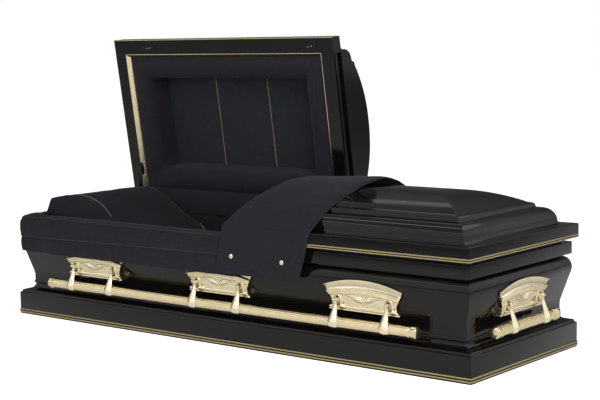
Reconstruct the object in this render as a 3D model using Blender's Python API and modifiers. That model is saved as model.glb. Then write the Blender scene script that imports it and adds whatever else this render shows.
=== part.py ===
"""Half-couch metal casket: body, two hinged lids, lining and swing-bar handles.

Metres, +Z up. The origin is the centre of the underside, +X runs to the foot end
and -Y is the front. Run in Blender's text editor or with blender --background --python.
"""

from math import cos, hypot, pi, radians, sin

import bmesh
import bpy
from mathutils import Matrix

# Driving sizes in metres
BASE_HALF_X = 1.0650
BASE_HALF_Y = 0.3500
FLANGE_HALF_X = 1.0640
FLANGE_HALF_Y = 0.3585
SHEET = 0.0015
GAP = 0.0003

# Base moulding and body: insets from the base's edge, and heights
BASE_FACE_TOP = 0.0885
BASE_TOP = 0.1180
BASE_NECK_INSET = 0.0452
BASE_BEADS = (0.0085, 0.0180)
BASE_BEAD_RADIUS = 0.0025
BODY_FOOT_INSET = 0.0470
BODY_FOOT_Z = 0.0018
FLOOR_RING_INSET = 0.2000
WAIST_INSET = 0.0443
SHOULDER_INSET = 0.0140
SHOULDER_Z = 0.2826
RECESS_INSET = 0.0395
RIM_INSET = 0.0145
RIM_BOTTOM = 0.3315
RIM_TOP = 0.3733
RIM_LIP_INSET = 0.0500
RIM_LIP_BOTTOM = 0.3600
GASKET_INSETS = (0.0295, 0.0430)
GASKET_TOP = 0.3855
BACK_CLEAR_Y = 0.2850

# Lids, in their closed place
FLANGE_BOTTOM = 0.3861
FLANGE_TOP = 0.4325
LEDGE_Z = 0.4355
CROWN_START_INSET = 0.1280
CROWN_START_Z = 0.5140
CROWN_Z = 0.5675
CROWN_POWER = 2.2
BAND_WIDTH = 0.0577
LID_BEADS = (0.3889, 0.3961)
LID_BEAD_RADIUS = 0.0023
SPLIT_X = 0.1013
SPLIT_GAP = 0.0022

# Hinges along the back
HINGE_Y = 0.3380
HINGE_Z = 0.4006
HEAD_LID_OPEN = radians(81.25)
HINGE_STRIP_Y = (0.2980, 0.3250)
HINGE_LUG_HALF = 0.0150
HINGE_LUG_RADIUS = 0.0070
HEAD_STRIP_X = (-0.9600, 0.0600)
FOOT_STRIP_X = (0.1500, 1.0000)
HEAD_LUGS = (-0.8800, -0.4550, -0.0300)
FOOT_LUGS = (0.2300, 0.5800, 0.9300)

# Inside of the head lid: insets from the lid's edges, and closed heights
TRIM_WALL = 0.0030
TRIM_PROUD = 0.0012
TRIM_TOP = 0.4060
ROLL_CREST_INSET = 0.1135
PANEL_INSET = 0.1590
PANEL_BOTTOM = 0.5130
PANEL_TOP = 0.5210
CATCH_PLACES = (-0.8570, 0.0000)
CATCH_Y = -0.3270
CATCH_SIZE = (0.0520, 0.0120, 0.0050)
CATCH_HOLE_RADIUS = 0.0022
STAY_KNUCKLE = (-1.0080, 0.1720)
STAY_EYE = (-1.0300, 0.2820)

# Swing-bar handles: distances out from the base's edge, and heights
EAR_SPACING = 0.6395
ARM_HALF_SPACING = 0.1041
LONG_BAR_HALF = 0.8730
SHORT_BAR_HALF = 0.2070
SHORT_BAR_SHIFT = -0.0150
PIVOT_Z = 0.2195
BAR_OUT = 0.0045
BAR_Z = 0.1440
BAR_RADIUS = 0.0165
BAR_SIDES = 10
TIP_LENGTH = 0.0360
TIP_RADIUS = 0.0212
TIP_SIDES = 8

# Ear rows: place from its top (0) to its foot (1), half width, corner height, arch rise
EAR_OUTLINE = ((0.00, 0.1595, 0.2665, 0.0265), (0.29, 0.1500, 0.2440, 0.0170), (0.46, 0.1400, 0.2290, 0.0120),
               (0.64, 0.1315, 0.2130, 0.0080), (0.82, 0.1330, 0.1990, 0.0020), (0.90, 0.1400, 0.1920, 0.0000),
               (1.00, 0.1440, 0.1810, 0.0000))
# Ear face: place and inset of a lip, a cove, a bead, the leaf field and the foot rail
EAR_FRONT = ((0.00, 0.0062), (0.05, 0.0034), (0.25, 0.0085), (0.30, 0.0055), (0.38, 0.0062),
             (0.45, 0.0125), (0.58, 0.0140), (0.70, 0.0155), (0.80, 0.0165), (0.84, 0.0130), (1.00, 0.0190))
# Ear back: height and inset, a little clear of the body's slope
EAR_BACK = ((0.1769, 0.0398), (0.2729, 0.0136), (0.3000, 0.0062))
EAR_COLUMNS = 6
LEAF_HEIGHT = 0.0050

# Swing arm, from its pivot: height, distance out, half width, half depth
ARM_SECTIONS = ((0.0000, 0.0000, 0.0045, 0.0045), (-0.0200, -0.0015, 0.0058, 0.0052),
                (-0.0520, -0.0125, 0.0132, 0.0080), (-0.0760, -0.0215, 0.0165, 0.0085),
                (-0.0930, -0.0155, 0.0075, 0.0045))
ARM_SIDES = 6

# Bed and pillow
BED_HALF_WIDTH = 0.2780
BED_FOOT_X = 0.9950
BED_TOP = 0.1200
BED_BOTTOM = 0.0045
PILLOW_TILT = radians(28.0)
PILLOW_TOP_HEAD = (-0.9560, 0.4780)
PILLOW_LENGTH = 0.4900
PILLOW_HALF_WIDTH = 0.2780
PILLOW_THICKNESS = 0.1000
PILLOW_CROWN = 0.0300

# Cloth over the front and head rim, round its section: inset over the ears, inset at the corner, height
EXTENDOVER_SECTION = ((-0.0055, 0.0100, 0.2575), (-0.0050, 0.0080, 0.2850), (0.0050, 0.0080, 0.3320),
                      (0.0055, 0.0070, 0.3800), (0.0110, 0.0120, 0.3930), (0.0220, 0.0220, 0.3990),
                      (0.0400, 0.0400, 0.4005), (0.0580, 0.0580, 0.3960), (0.0675, 0.0675, 0.3850),
                      (0.0685, 0.0685, 0.3450), (0.0615, 0.0615, 0.3450), (0.0612, 0.0612, 0.3800),
                      (0.0540, 0.0540, 0.3870), (0.0200, 0.0200, 0.3870), (0.0140, 0.0140, 0.3800),
                      (0.0135, 0.0135, 0.3320), (0.0010, 0.0130, 0.2850), (0.0005, 0.0150, 0.2575))
EXTENDOVER_FOOT_X = 0.0930
EXTENDOVER_TURN_X = (-0.8400, -0.9500)
EXTENDOVER_TURN_Y = -0.2200

# Throw over the foot lid: its left and right edge at the hem (-1), the flange (0), the crown (1)
THROW_GAP = 0.0006
THROW_THICKNESS = 0.0070
THROW_HEM = (-0.3640, 0.2655)
THROW_BACK_Y = 0.3300
THROW_LEFT = ((-1.0, 0.0138), (0.0, 0.0500), (1.0, 0.1040))
THROW_RIGHT = ((-1.0, 0.3900), (0.0, 0.4380), (1.0, 0.4480))
THROW_CROWN_RUN = 0.2080
# How far the right edge stands off the crown, by y; the left edge stands off by a share of it
THROW_LIFT = ((-0.3700, 0.0000), (-0.1200, 0.0000), (0.0000, 0.0130), (0.0700, 0.0230), (0.1500, 0.0220),
              (0.3300, 0.0000))
THROW_LEFT_LIFT_SHARE = 0.3000
BUTTON_PLACES = ((0.0918, 0.3300), (0.3209, 0.3270))
BUTTON_RADIUS = 0.0090
BUTTON_HEIGHT = 0.0050

COLLECTION = bpy.data.collections.new("casket")
CUTTERS = bpy.data.collections.new("casket_cutters")


def clear_scene():
    for old in list(bpy.data.objects):
        bpy.data.objects.remove(old, do_unlink=True)
    bpy.context.scene.collection.children.link(COLLECTION)
    bpy.context.scene.collection.children.link(CUTTERS)


def make_material(name, color, roughness, metallic):
    material = bpy.data.materials.new(name)
    material.use_nodes = True
    shader = material.node_tree.nodes["Principled BSDF"]
    shader.inputs["Base Color"].default_value = (*color, 1.0)
    shader.inputs["Roughness"].default_value = roughness
    shader.inputs["Metallic"].default_value = metallic
    material.diffuse_color = (*color, 1.0)
    return material


PAINT = make_material("gloss_black_paint", (0.012, 0.012, 0.013), 0.08, 0.0)
GOLD = make_material("pale_gold_plate", (0.78, 0.66, 0.40), 0.16, 1.0)
STRIPE = make_material("olive_gold_plate", (0.42, 0.35, 0.16), 0.30, 1.0)
BLACK_METAL = make_material("black_hardware", (0.010, 0.010, 0.010), 0.35, 1.0)
RUBBER = make_material("black_rubber", (0.008, 0.008, 0.008), 0.70, 0.0)
CLOTH = make_material("charcoal_cloth", (0.020, 0.019, 0.024), 0.85, 0.0)
PANEL_CLOTH = make_material("blue_grey_cloth", (0.017, 0.021, 0.026), 0.80, 0.0)


def add_object(name, mesh, material, parent=None, smooth_angle=None):
    """Link a mesh as one named part; its coordinates are local to its parent."""
    part = bpy.data.objects.new(name, mesh)
    COLLECTION.objects.link(part)
    if not mesh.materials:
        mesh.materials.append(material)
    if smooth_angle is not None:
        mesh.shade_smooth()
        mesh.set_sharp_from_angle(angle=smooth_angle)
    part.parent = parent
    return part


def joint_empty(name, location, turn=(0.0, 0.0, 0.0)):
    empty = bpy.data.objects.new(name, None)
    COLLECTION.objects.link(empty)
    empty.empty_display_size = 0.05
    empty.location = location
    empty.rotation_euler = turn
    return empty


def hidden_helper(name, data):
    helper = bpy.data.objects.new(name, data)
    CUTTERS.objects.link(helper)
    helper.hide_render = True
    helper.display_type = "WIRE"
    return helper


def mesh_from_bmesh(name, bm):
    bmesh.ops.remove_doubles(bm, verts=bm.verts[:], dist=0.000001)
    bmesh.ops.recalc_face_normals(bm, faces=bm.faces[:])
    mesh = bpy.data.meshes.new(name)
    bm.to_mesh(mesh)
    bm.free()
    return mesh


def finished_mesh(helper):
    """The evaluated mesh of a helper object, which is removed, with its modifiers applied."""
    bpy.context.view_layer.update()
    evaluated = helper.evaluated_get(bpy.context.evaluated_depsgraph_get())
    mesh = bpy.data.meshes.new_from_object(evaluated)
    mesh.name = helper.name
    bpy.data.objects.remove(helper, do_unlink=True)
    return mesh


def combined_mesh(name, mesh, tools):
    """Apply exact Booleans, given as (operation, mesh), to a mesh and return the result."""
    work = hidden_helper(name, mesh)
    helpers = []
    for operation, tool_mesh in tools:
        helper = hidden_helper(name + "_cutter", tool_mesh)
        helpers.append(helper)
        modifier = work.modifiers.new(operation.lower(), "BOOLEAN")
        modifier.operation = operation
        modifier.solver = "EXACT"
        modifier.object = helper
    result = finished_mesh(work)
    for helper in helpers:
        bpy.data.objects.remove(helper, do_unlink=True)
    return result


def box_mesh(name, low, high):
    bm = bmesh.new()
    bmesh.ops.create_cube(bm, size=1.0)
    size = [high[axis] - low[axis] for axis in range(3)]
    middle = [(high[axis] + low[axis]) / 2 for axis in range(3)]
    place = Matrix.Translation(middle) @ Matrix.Diagonal((*size, 1.0))
    bmesh.ops.transform(bm, matrix=place, verts=bm.verts[:])
    return mesh_from_bmesh(name, bm)


def rod_mesh(name, radius, length, sides, axis="X"):
    bm = bmesh.new()
    bmesh.ops.create_cone(bm, cap_ends=True, segments=sides, radius1=radius, radius2=radius, depth=length)
    if axis == "X":
        bmesh.ops.rotate(bm, verts=bm.verts[:], matrix=Matrix.Rotation(pi / 2, 3, "Y"))
    return mesh_from_bmesh(name, bm)


def flat_outline_mesh(name, outline, low, high, axis):
    """Extrude a closed outline along X, Y or Z; the outline lists the other two axes in order."""
    curve = bpy.data.curves.new(name, "CURVE")
    curve.dimensions = "2D"
    curve.fill_mode = "BOTH"
    curve.extrude = (high - low) / 2
    spline = curve.splines.new("POLY")
    spline.points.add(len(outline) - 1)
    for point, (u, v) in zip(spline.points, outline):
        point.co = (u, v, 0.0, 1.0)
    spline.use_cyclic_u = True
    bm = bmesh.new()
    bm.from_mesh(finished_mesh(hidden_helper(name, curve)))
    for vert in bm.verts:
        values = [vert.co.x, vert.co.y]
        values.insert("XYZ".index(axis), vert.co.z + (high + low) / 2)
        vert.co = values
    return mesh_from_bmesh(name, bm)


def turned_mesh(name, profile, sides):
    """Turn a profile of (radius, height), listed from the top down, about Z."""
    mesh = bpy.data.meshes.new(name)
    edges = [(index, index + 1) for index in range(len(profile) - 1)]
    mesh.from_pydata([(radius, 0.0, height) for radius, height in profile], edges, [])
    helper = hidden_helper(name, mesh)
    screw = helper.modifiers.new("turn", "SCREW")
    screw.steps = sides
    screw.render_steps = sides
    screw.use_merge_vertices = True
    screw.merge_threshold = 0.00001
    return finished_mesh(helper)


def arc(centre, radii, start, end, steps):
    """Points on an elliptic arc; the angles are in degrees and both ends are kept."""
    points = []
    for step in range(steps + 1):
        angle = radians(start + (end - start) * step / steps)
        points.append((centre[0] + radii[0] * cos(angle), centre[1] + radii[1] * sin(angle)))
    return points


def offset_line(points, distance):
    """Offset an open outline to its right-hand side with mitred corners."""
    result = []
    last = len(points) - 1
    for index, point in enumerate(points):
        normals = []
        for first, second in ((index - 1, index), (index, index + 1)):
            if first < 0 or second > last:
                continue
            du = points[second][0] - points[first][0]
            dv = points[second][1] - points[first][1]
            length = hypot(du, dv)
            normals.append((dv / length, -du / length))
        nu = sum(normal[0] for normal in normals)
        nv = sum(normal[1] for normal in normals)
        scale = distance * len(normals) / (nu * nu + nv * nv)
        result.append((point[0] + nu * scale, point[1] + nv * scale))
    return result


def between(table, value):
    """Straight-line lookup in a short table of (key, value) pairs."""
    for (low, first), (high, second) in zip(table, table[1:]):
        if value <= high:
            share = (value - low) / (high - low)
            return first + (second - first) * share
    return table[-1][1]


def loft(name, grid, close_rows=False, close_stations=False, cap_rows=False, cap_ends=True):
    """Skin a grid of points: a row follows the path, and the rows follow the section."""
    bm = bmesh.new()
    rows = [[bm.verts.new(point) for point in row] for row in grid]
    row_count = len(rows)
    station_count = len(rows[0])
    for k in range(row_count if close_rows else row_count - 1):
        this_row = rows[k]
        next_row = rows[(k + 1) % row_count]
        for j in range(station_count if close_stations else station_count - 1):
            n = (j + 1) % station_count
            bm.faces.new((this_row[j], this_row[n], next_row[n], next_row[j]))
    if cap_rows:
        bm.faces.new(rows[0])
        bm.faces.new(rows[-1])
    if cap_ends and not close_stations:
        bm.faces.new([row[0] for row in rows])
        bm.faces.new([row[-1] for row in rows])
    bmesh.ops.remove_doubles(bm, verts=bm.verts[:], dist=0.000001)
    bmesh.ops.dissolve_degenerate(bm, edges=bm.edges[:], dist=0.000001)
    return mesh_from_bmesh(name, bm)


def frame_ring(inset, z):
    """Corners of the base's rectangle, drawn in by an inset, at one height."""
    x = BASE_HALF_X - inset
    y = BASE_HALF_Y - inset
    return [(-x, -y, z), (x, -y, z), (x, y, z), (-x, y, z)]


def frame_mesh(name, section):
    """A closed section, as (inset, z), carried round the base's rectangle with mitred corners."""
    return loft(name, [frame_ring(inset, z) for inset, z in section], close_rows=True, close_stations=True)


def pan_mesh(name, outline):
    """A sheet-metal pan with mitred corners: the outline, its inner face and both floors."""
    inner = offset_line(outline, SHEET)
    rings = [frame_ring(inset, z) for inset, z in outline + inner[::-1]]
    return loft(name, rings, close_stations=True, cap_rows=True)


def double_bead(heights, radius):
    """Section of a trim with two half-round beads; it stands off its face by the gap."""
    web = -0.0011
    stand = 0.0019
    margin = radius + 0.0004
    low_z, high_z = heights
    section = [(-GAP, low_z - margin), (-GAP, high_z + margin)]
    section += arc((web, high_z), (-stand, radius), 90, -90, 4)
    section += arc((web, low_z), (-stand, radius), 90, -90, 4)
    return section


def base_outline():
    """Outer face of the base moulding as (inset, z), from the floor pan to the neck."""
    outline = [(FLOOR_RING_INSET, 0.0), (0.0, 0.0)]
    outline += arc((0.0025, BASE_FACE_TOP - 0.0025), (-0.0025, 0.0025), 0, 90, 2)
    outline += [(0.0055, 0.0895)]
    outline += arc((0.0125, 0.0925), (-0.0060, 0.0060), -10, 90, 4)
    outline += [(0.0250, 0.1020)]
    outline += arc((0.0250, 0.1180), (0.0190, 0.0160), -85, -15, 4)
    outline += [(BASE_NECK_INSET, BASE_TOP)]
    return outline


def body_outline():
    """Outer face of the body as (inset, z), from the floor plate to the rim's inner lip."""
    outline = [(FLOOR_RING_INSET, BODY_FOOT_Z), (BODY_FOOT_INSET, BODY_FOOT_Z), (BODY_FOOT_INSET, 0.1205)]
    outline += arc((0.0462, 0.1290), (0.0043, 0.0080), 250, 110, 4)
    outline += [(WAIST_INSET, 0.1420), (WAIST_INSET, 0.1590), (0.0408, 0.1769), (0.0210, 0.2516)]
    outline += arc((RECESS_INSET, SHOULDER_Z), (SHOULDER_INSET - RECESS_INSET, 0.0400), -14, 90, 6)
    outline += [(RECESS_INSET, RIM_BOTTOM - 0.0015), (RIM_INSET + 0.0020, RIM_BOTTOM - 0.0015)]
    outline += arc((RIM_INSET + 0.0020, RIM_BOTTOM + 0.0005), (-0.0020, 0.0020), -60, 0, 2)
    outline += arc((RIM_INSET + 0.0025, RIM_TOP - 0.0025), (-0.0025, 0.0025), 0, 90, 2)
    outline += [(RIM_LIP_INSET, RIM_TOP), (RIM_LIP_INSET, RIM_LIP_BOTTOM)]
    return outline


def three_sided(inset, z):
    """Path along the foot end, the front and the head end, clear of the hinges at the back."""
    x = BASE_HALF_X - inset
    y = BASE_HALF_Y - inset
    return [(x, BACK_CLEAR_Y, z), (x, -y, z), (-x, -y, z), (-x, BACK_CLEAR_Y, z)]


def build_base():
    add_object("base_moulding", pan_mesh("base_moulding", base_outline()), PAINT, smooth_angle=radians(35))
    trim = frame_mesh("base_trim", double_bead(BASE_BEADS, BASE_BEAD_RADIUS))
    add_object("base_trim", trim, STRIPE, smooth_angle=radians(50))


def build_body():
    add_object("body_shell", pan_mesh("body_shell", body_outline()), PAINT, smooth_angle=radians(35))
    outer, inner = GASKET_INSETS
    low = RIM_TOP + GAP
    section = [(outer, low), (outer, GASKET_TOP), (inner, GASKET_TOP), (inner, low)]
    rows = [three_sided(inset, z) for inset, z in section]
    add_object("rim_gasket", loft("rim_gasket", rows, close_rows=True), RUBBER)


def dome_outline():
    """Outer face of a lid as (inset, z), from the crown down to the inner edge of its band."""
    outline = []
    crown_steps = 6
    for step in range(crown_steps + 1):
        share = step / crown_steps
        inset = FLANGE_HALF_Y + (CROWN_START_INSET - FLANGE_HALF_Y) * share
        outline.append((inset, CROWN_Z - (CROWN_Z - CROWN_START_Z) * share ** CROWN_POWER))
    outline += arc((0.1225, 0.5020), (-0.0130, 0.0108), 90, 5, 4)
    outline += [(0.1075, 0.4975), (0.0980, 0.4955)]
    outline += arc((0.0980, 0.4470), (-0.0440, 0.0480), 83, 4, 5)
    outline += arc((0.0440, 0.4460), (0.0090, 0.0100), -8, -86, 2)
    outline += [(0.0300, LEDGE_Z)]
    outline += arc((0.0025, FLANGE_TOP), (-0.0025, 0.0025), 80, 0, 2)
    outline += [(0.0, FLANGE_BOTTOM), (BAND_WIDTH, FLANGE_BOTTOM)]
    return outline


def inner_dome(outline):
    """Inner face of a lid's sheet metal, with its ridge kept on the centre line."""
    inner = offset_line(outline, -SHEET)
    return [(FLANGE_HALF_Y, CROWN_Z - SHEET)] + inner[1:]


def lid_ring(inset, z, split_x, end_sign, split_inset=0.0):
    """Corners of a lid at one level; the crown's ridge lies at an inset of half the width."""
    end_x = end_sign * (FLANGE_HALF_X - inset)
    y = max(FLANGE_HALF_Y - inset, 0.0)
    near_split = split_x + end_sign * split_inset
    return [(near_split, -y, z), (end_x, -y, z), (end_x, y, z), (near_split, y, z)]


def foot_lid_mesh():
    """The foot lid: its dome, its wall at the split and the band turned in all round."""
    split_x = SPLIT_X + SPLIT_GAP
    outer = dome_outline()
    inner = inner_dome(outer)
    rows = []
    for index, (inset, z) in enumerate(outer):
        at_split = BAND_WIDTH if index == len(outer) - 1 else 0.0
        rows.append(lid_ring(inset, z, split_x, 1.0, at_split))
    for index, (inset, z) in reversed(list(enumerate(inner))):
        at_split = BAND_WIDTH if index == len(inner) - 1 else SHEET
        rows.append(lid_ring(inset, z, split_x, 1.0, at_split))
    return loft("foot_lid_shell", rows, close_stations=True)


def head_lid_mesh():
    """The head lid: a dome open at the split, where its header closes it."""
    outer = dome_outline()
    rows = [lid_ring(inset, z, SPLIT_X, -1.0) for inset, z in outer + inner_dome(outer)[::-1]]
    return loft("head_lid_shell", rows)


def lug_notches(places):
    """Cutters for the pockets that let each hinge lug into the lid's back flange."""
    notches = []
    half = HINGE_LUG_HALF + 0.0030
    for x in places:
        low = (x - half, 0.3035, FLANGE_BOTTOM - 0.0060)
        high = (x + half, 0.3700, HINGE_Z + 0.0100)
        notches.append(("DIFFERENCE", box_mesh("notch", low, high)))
    return notches


def to_lid(mesh):
    """Move a mesh from closed-lid world coordinates to coordinates about the hinge axis."""
    mesh.transform(Matrix.Translation((0.0, -HINGE_Y, -HINGE_Z)))
    return mesh


def build_hinge(name, places, strip_x):
    """A strip on the back rim with upright lugs that end in knuckles on the hinge axis."""
    strip_top = RIM_TOP + 0.0023
    strip = box_mesh(name, (strip_x[0], HINGE_STRIP_Y[0], RIM_TOP + GAP), (strip_x[1], HINGE_STRIP_Y[1], strip_top))
    side = [(0.3060, RIM_TOP + 0.0010), (0.3240, RIM_TOP + 0.0010)]
    side += arc((HINGE_Y, HINGE_Z), (HINGE_LUG_RADIUS, HINGE_LUG_RADIUS), -45, 135, 5)
    lugs = []
    for x in places:
        lugs.append(("UNION", flat_outline_mesh("lug", side, x - HINGE_LUG_HALF, x + HINGE_LUG_HALF, "X")))
    add_object(name, combined_mesh(name, strip, lugs), BLACK_METAL)


def lid_trim(name, split_x, end_sign, parent):
    """Gold double bead along the front and the end of a lid's flange."""
    rows = []
    for inset, z in double_bead(LID_BEADS, LID_BEAD_RADIUS):
        x = end_sign * (FLANGE_HALF_X - inset)
        y = FLANGE_HALF_Y - inset
        rows.append([(split_x, -y, z), (x, -y, z), (x, FLANGE_HALF_Y - 0.0150, z)])
    add_object(name, to_lid(loft(name, rows, close_rows=True)), STRIPE, parent, radians(50))


def head_lid_frame(name, section):
    """A closed section carried round inside the head lid, inset from all four of its edges."""
    rows = []
    for inset, z in section:
        low_x = -(FLANGE_HALF_X - inset)
        high_x = SPLIT_X - inset
        y = FLANGE_HALF_Y - inset
        rows.append([(high_x, -y, z), (low_x, -y, z), (low_x, y, z), (high_x, y, z)])
    return to_lid(loft(name, rows, close_rows=True, close_stations=True))


def header_mesh():
    """End panel of the head lid at the split, with two channels along its channel bar."""
    face_x = SPLIT_X - 0.0006
    back_x = SPLIT_X - 0.0036
    clear = SHEET + GAP
    low_z = FLANGE_BOTTOM + clear
    dome = offset_line(dome_outline(), -clear)[1:]
    half = [(-(FLANGE_HALF_Y - inset), z) for inset, z in dome if z > low_z + 0.0001]
    half.append((-(FLANGE_HALF_Y - clear), low_z))
    other_half = [(-y, z) for y, z in half[::-1]]
    outline = [(0.0, CROWN_Z - clear)] + half + other_half
    panel = flat_outline_mesh("head_lid_header", outline, back_x, face_x, "X")
    half_bar = FLANGE_HALF_Y - BAND_WIDTH - GAP
    half_channel = half_bar - 0.0040
    past_face = SPLIT_X + 0.0100
    bar = box_mesh("bar", (SPLIT_X - BAND_WIDTH + GAP, -half_bar, FLANGE_BOTTOM), (face_x, half_bar, 0.4395))
    lower = box_mesh("lower", (SPLIT_X - 0.0120, -half_channel, 0.3885), (past_face, half_channel, 0.3960))
    upper = box_mesh("upper", (SPLIT_X - 0.0180, -half_channel, 0.4080), (past_face, half_channel, 0.4365))
    return combined_mesh("head_lid_header", panel, [("UNION", bar), ("DIFFERENCE", lower), ("DIFFERENCE", upper)])


def catch_mesh(x):
    """Small catch plate on the underside of the lid's front band, with two screw holes."""
    length, width, height = CATCH_SIZE
    top = FLANGE_BOTTOM - GAP
    plate = box_mesh("catch", (x - length / 2, CATCH_Y - width / 2, top - height),
                     (x + length / 2, CATCH_Y + width / 2, top))
    holes = []
    for side in (-1.0, 1.0):
        hole = rod_mesh("hole", CATCH_HOLE_RADIUS, 0.0300, 8, "Z")
        hole.transform(Matrix.Translation((x + side * length / 4, CATCH_Y, FLANGE_BOTTOM)))
        holes.append(("DIFFERENCE", hole))
    return combined_mesh("catch", plate, holes)


def stay_mesh():
    """Stay on the head end's band: a knuckle near the trim and an arm to the hinge side."""
    top = FLANGE_BOTTOM - 0.0016
    knuckle = rod_mesh("knuckle", 0.0130, 0.0160, 12, "Z")
    knuckle.transform(Matrix.Translation((*STAY_KNUCKLE, top - 0.0080)))
    eye = rod_mesh("eye", 0.0110, 0.0115, 12, "Z")
    eye.transform(Matrix.Translation((*STAY_EYE, top - 0.0061)))
    (start_x, start_y), (end_x, end_y) = STAY_KNUCKLE, STAY_EYE
    across, along = 0.0090, 0.0018
    outline = [(start_x - across, start_y - along), (start_x + across, start_y + along),
               (end_x + across, end_y + along), (end_x - across, end_y - along)]
    arm = flat_outline_mesh("stay", outline, top - 0.0090, top - 0.0008, "Z")
    return combined_mesh("stay", arm, [("UNION", knuckle), ("UNION", eye)])


def build_head_lid():
    hinge = joint_empty("head_lid_hinge_axis", (0.0, HINGE_Y, HINGE_Z), (-HEAD_LID_OPEN, 0.0, 0.0))
    shell = combined_mesh("head_lid_shell", head_lid_mesh(), lug_notches(HEAD_LUGS))
    add_object("head_lid_shell", to_lid(shell), PAINT, hinge, radians(28))
    add_object("head_lid_header", to_lid(header_mesh()), PAINT, hinge, radians(28))
    lid_trim("head_lid_edge_trim", SPLIT_X, -1.0, hinge)

    trim_inset = BAND_WIDTH + GAP
    trim_low = FLANGE_BOTTOM - TRIM_PROUD
    trim = [(trim_inset, trim_low), (trim_inset + TRIM_WALL, trim_low),
            (trim_inset + TRIM_WALL, TRIM_TOP), (trim_inset, TRIM_TOP)]
    add_object("head_lid_inner_trim", head_lid_frame("head_lid_inner_trim", trim), GOLD, hinge)

    roll = [(0.0618, 0.4100)]
    roll += arc((ROLL_CREST_INSET, 0.4230), (0.0500, 0.0385), 205, 360, 6)
    roll += [(0.1660, 0.4650), (0.1680, 0.5085)]
    roll += [(0.1520, 0.5120), (0.1400, 0.4700), (0.1100, 0.4300), (0.0640, 0.4180)]
    add_object("head_lid_roll", head_lid_frame("head_lid_roll", roll), CLOTH, hinge, radians(60))

    panel_x = FLANGE_HALF_X - PANEL_INSET
    panel_y = FLANGE_HALF_Y - PANEL_INSET
    panel = box_mesh("head_lid_panel", (-panel_x, -panel_y, PANEL_BOTTOM),
                     (SPLIT_X - PANEL_INSET, panel_y, PANEL_TOP))
    add_object("head_lid_panel", to_lid(panel), PANEL_CLOTH, hinge)
    for number, x in enumerate(CATCH_PLACES, start=1):
        add_object(f"head_lid_catch_{number}", to_lid(catch_mesh(x)), BLACK_METAL, hinge)
    add_object("head_lid_stay", to_lid(stay_mesh()), BLACK_METAL, hinge, radians(40))
    build_hinge("head_lid_hinge", HEAD_LUGS, HEAD_STRIP_X)


def build_foot_lid():
    hinge = joint_empty("foot_lid_hinge_axis", (0.0, HINGE_Y, HINGE_Z))
    shell = combined_mesh("foot_lid_shell", foot_lid_mesh(), lug_notches(FOOT_LUGS))
    add_object("foot_lid_shell", to_lid(shell), PAINT, hinge, radians(28))
    lid_trim("foot_lid_edge_trim", SPLIT_X + SPLIT_GAP, 1.0, hinge)
    build_hinge("foot_lid_hinge", FOOT_LUGS, FOOT_STRIP_X)
    build_throw(hinge)


def upper_hull(points):
    """Upper convex hull of points sorted by their first value."""
    hull = []
    for point in sorted(points):
        while len(hull) > 1:
            (ax, az), (bx, bz) = hull[-2], hull[-1]
            if (bx - ax) * (point[1] - az) - (bz - az) * (point[0] - ax) < 0.0:
                break
            hull.pop()
        hull.append(point)
    return hull


def throw_path():
    """Inner line of the throw as (y, z), from the front hem over the lid to its back ledge."""
    dome = [(inset - FLANGE_HALF_Y, z) for inset, z in dome_outline() if z > FLANGE_TOP]
    dome += [(-y, z) for y, z in dome]
    hull = [point for point in upper_hull(dome) if point[0] < THROW_BACK_Y]
    over = offset_line(hull[1:], -THROW_GAP)
    front = [THROW_HEM, (-0.3620, 0.3300), (-0.3618, 0.3900), (-0.3617, 0.4290), (-0.3590, 0.4365)]
    return front + over


def throw_place(y, z):
    """Place along the throw: -1 at the hem, 0 at the flange, 1 from the crown's near side on."""
    if y < -FLANGE_HALF_Y:
        return max(-1.0, (z - FLANGE_TOP) / (FLANGE_TOP - THROW_HEM[1]))
    return min(1.0, (y + FLANGE_HALF_Y) / THROW_CROWN_RUN)


def button_mesh():
    """Domed button turned about Y, with its flat back at y = 0."""
    shoulder = 0.0012
    profile = arc((0.0, shoulder), (BUTTON_RADIUS, BUTTON_HEIGHT - shoulder), 90, 0, 3)
    profile += [(BUTTON_RADIUS, 0.0), (0.0, 0.0)]
    mesh = turned_mesh("button", profile, 10)
    mesh.transform(Matrix.Rotation(pi / 2, 4, "X"))
    return mesh


def build_throw(parent):
    inner = throw_path()
    outer = offset_line(inner, -THROW_THICKNESS)
    rows = [[], [], [], []]
    for (iy, iz), (oy, oz) in zip(inner, outer):
        place = throw_place(iy, iz)
        left = between(THROW_LEFT, place)
        right = between(THROW_RIGHT, place)
        lift = between(THROW_LIFT, iy)
        low = lift * THROW_LEFT_LIFT_SHARE
        section = ((left, oy, oz + low), (right, oy, oz + lift), (right, iy, iz + lift), (left, iy, iz + low))
        for row, point in zip(rows, section):
            row.append(point)
    add_object("throw", to_lid(loft("throw", rows, close_rows=True)), CLOTH, parent, radians(40))
    face = [(z, y) for y, z in outer if z < FLANGE_TOP]
    for number, (x, z) in enumerate(BUTTON_PLACES, start=1):
        button = button_mesh()
        button.transform(Matrix.Translation((x, between(face, z) - GAP, z)))
        add_object(f"throw_button_{number}", to_lid(button), GOLD, parent, radians(60))


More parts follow.
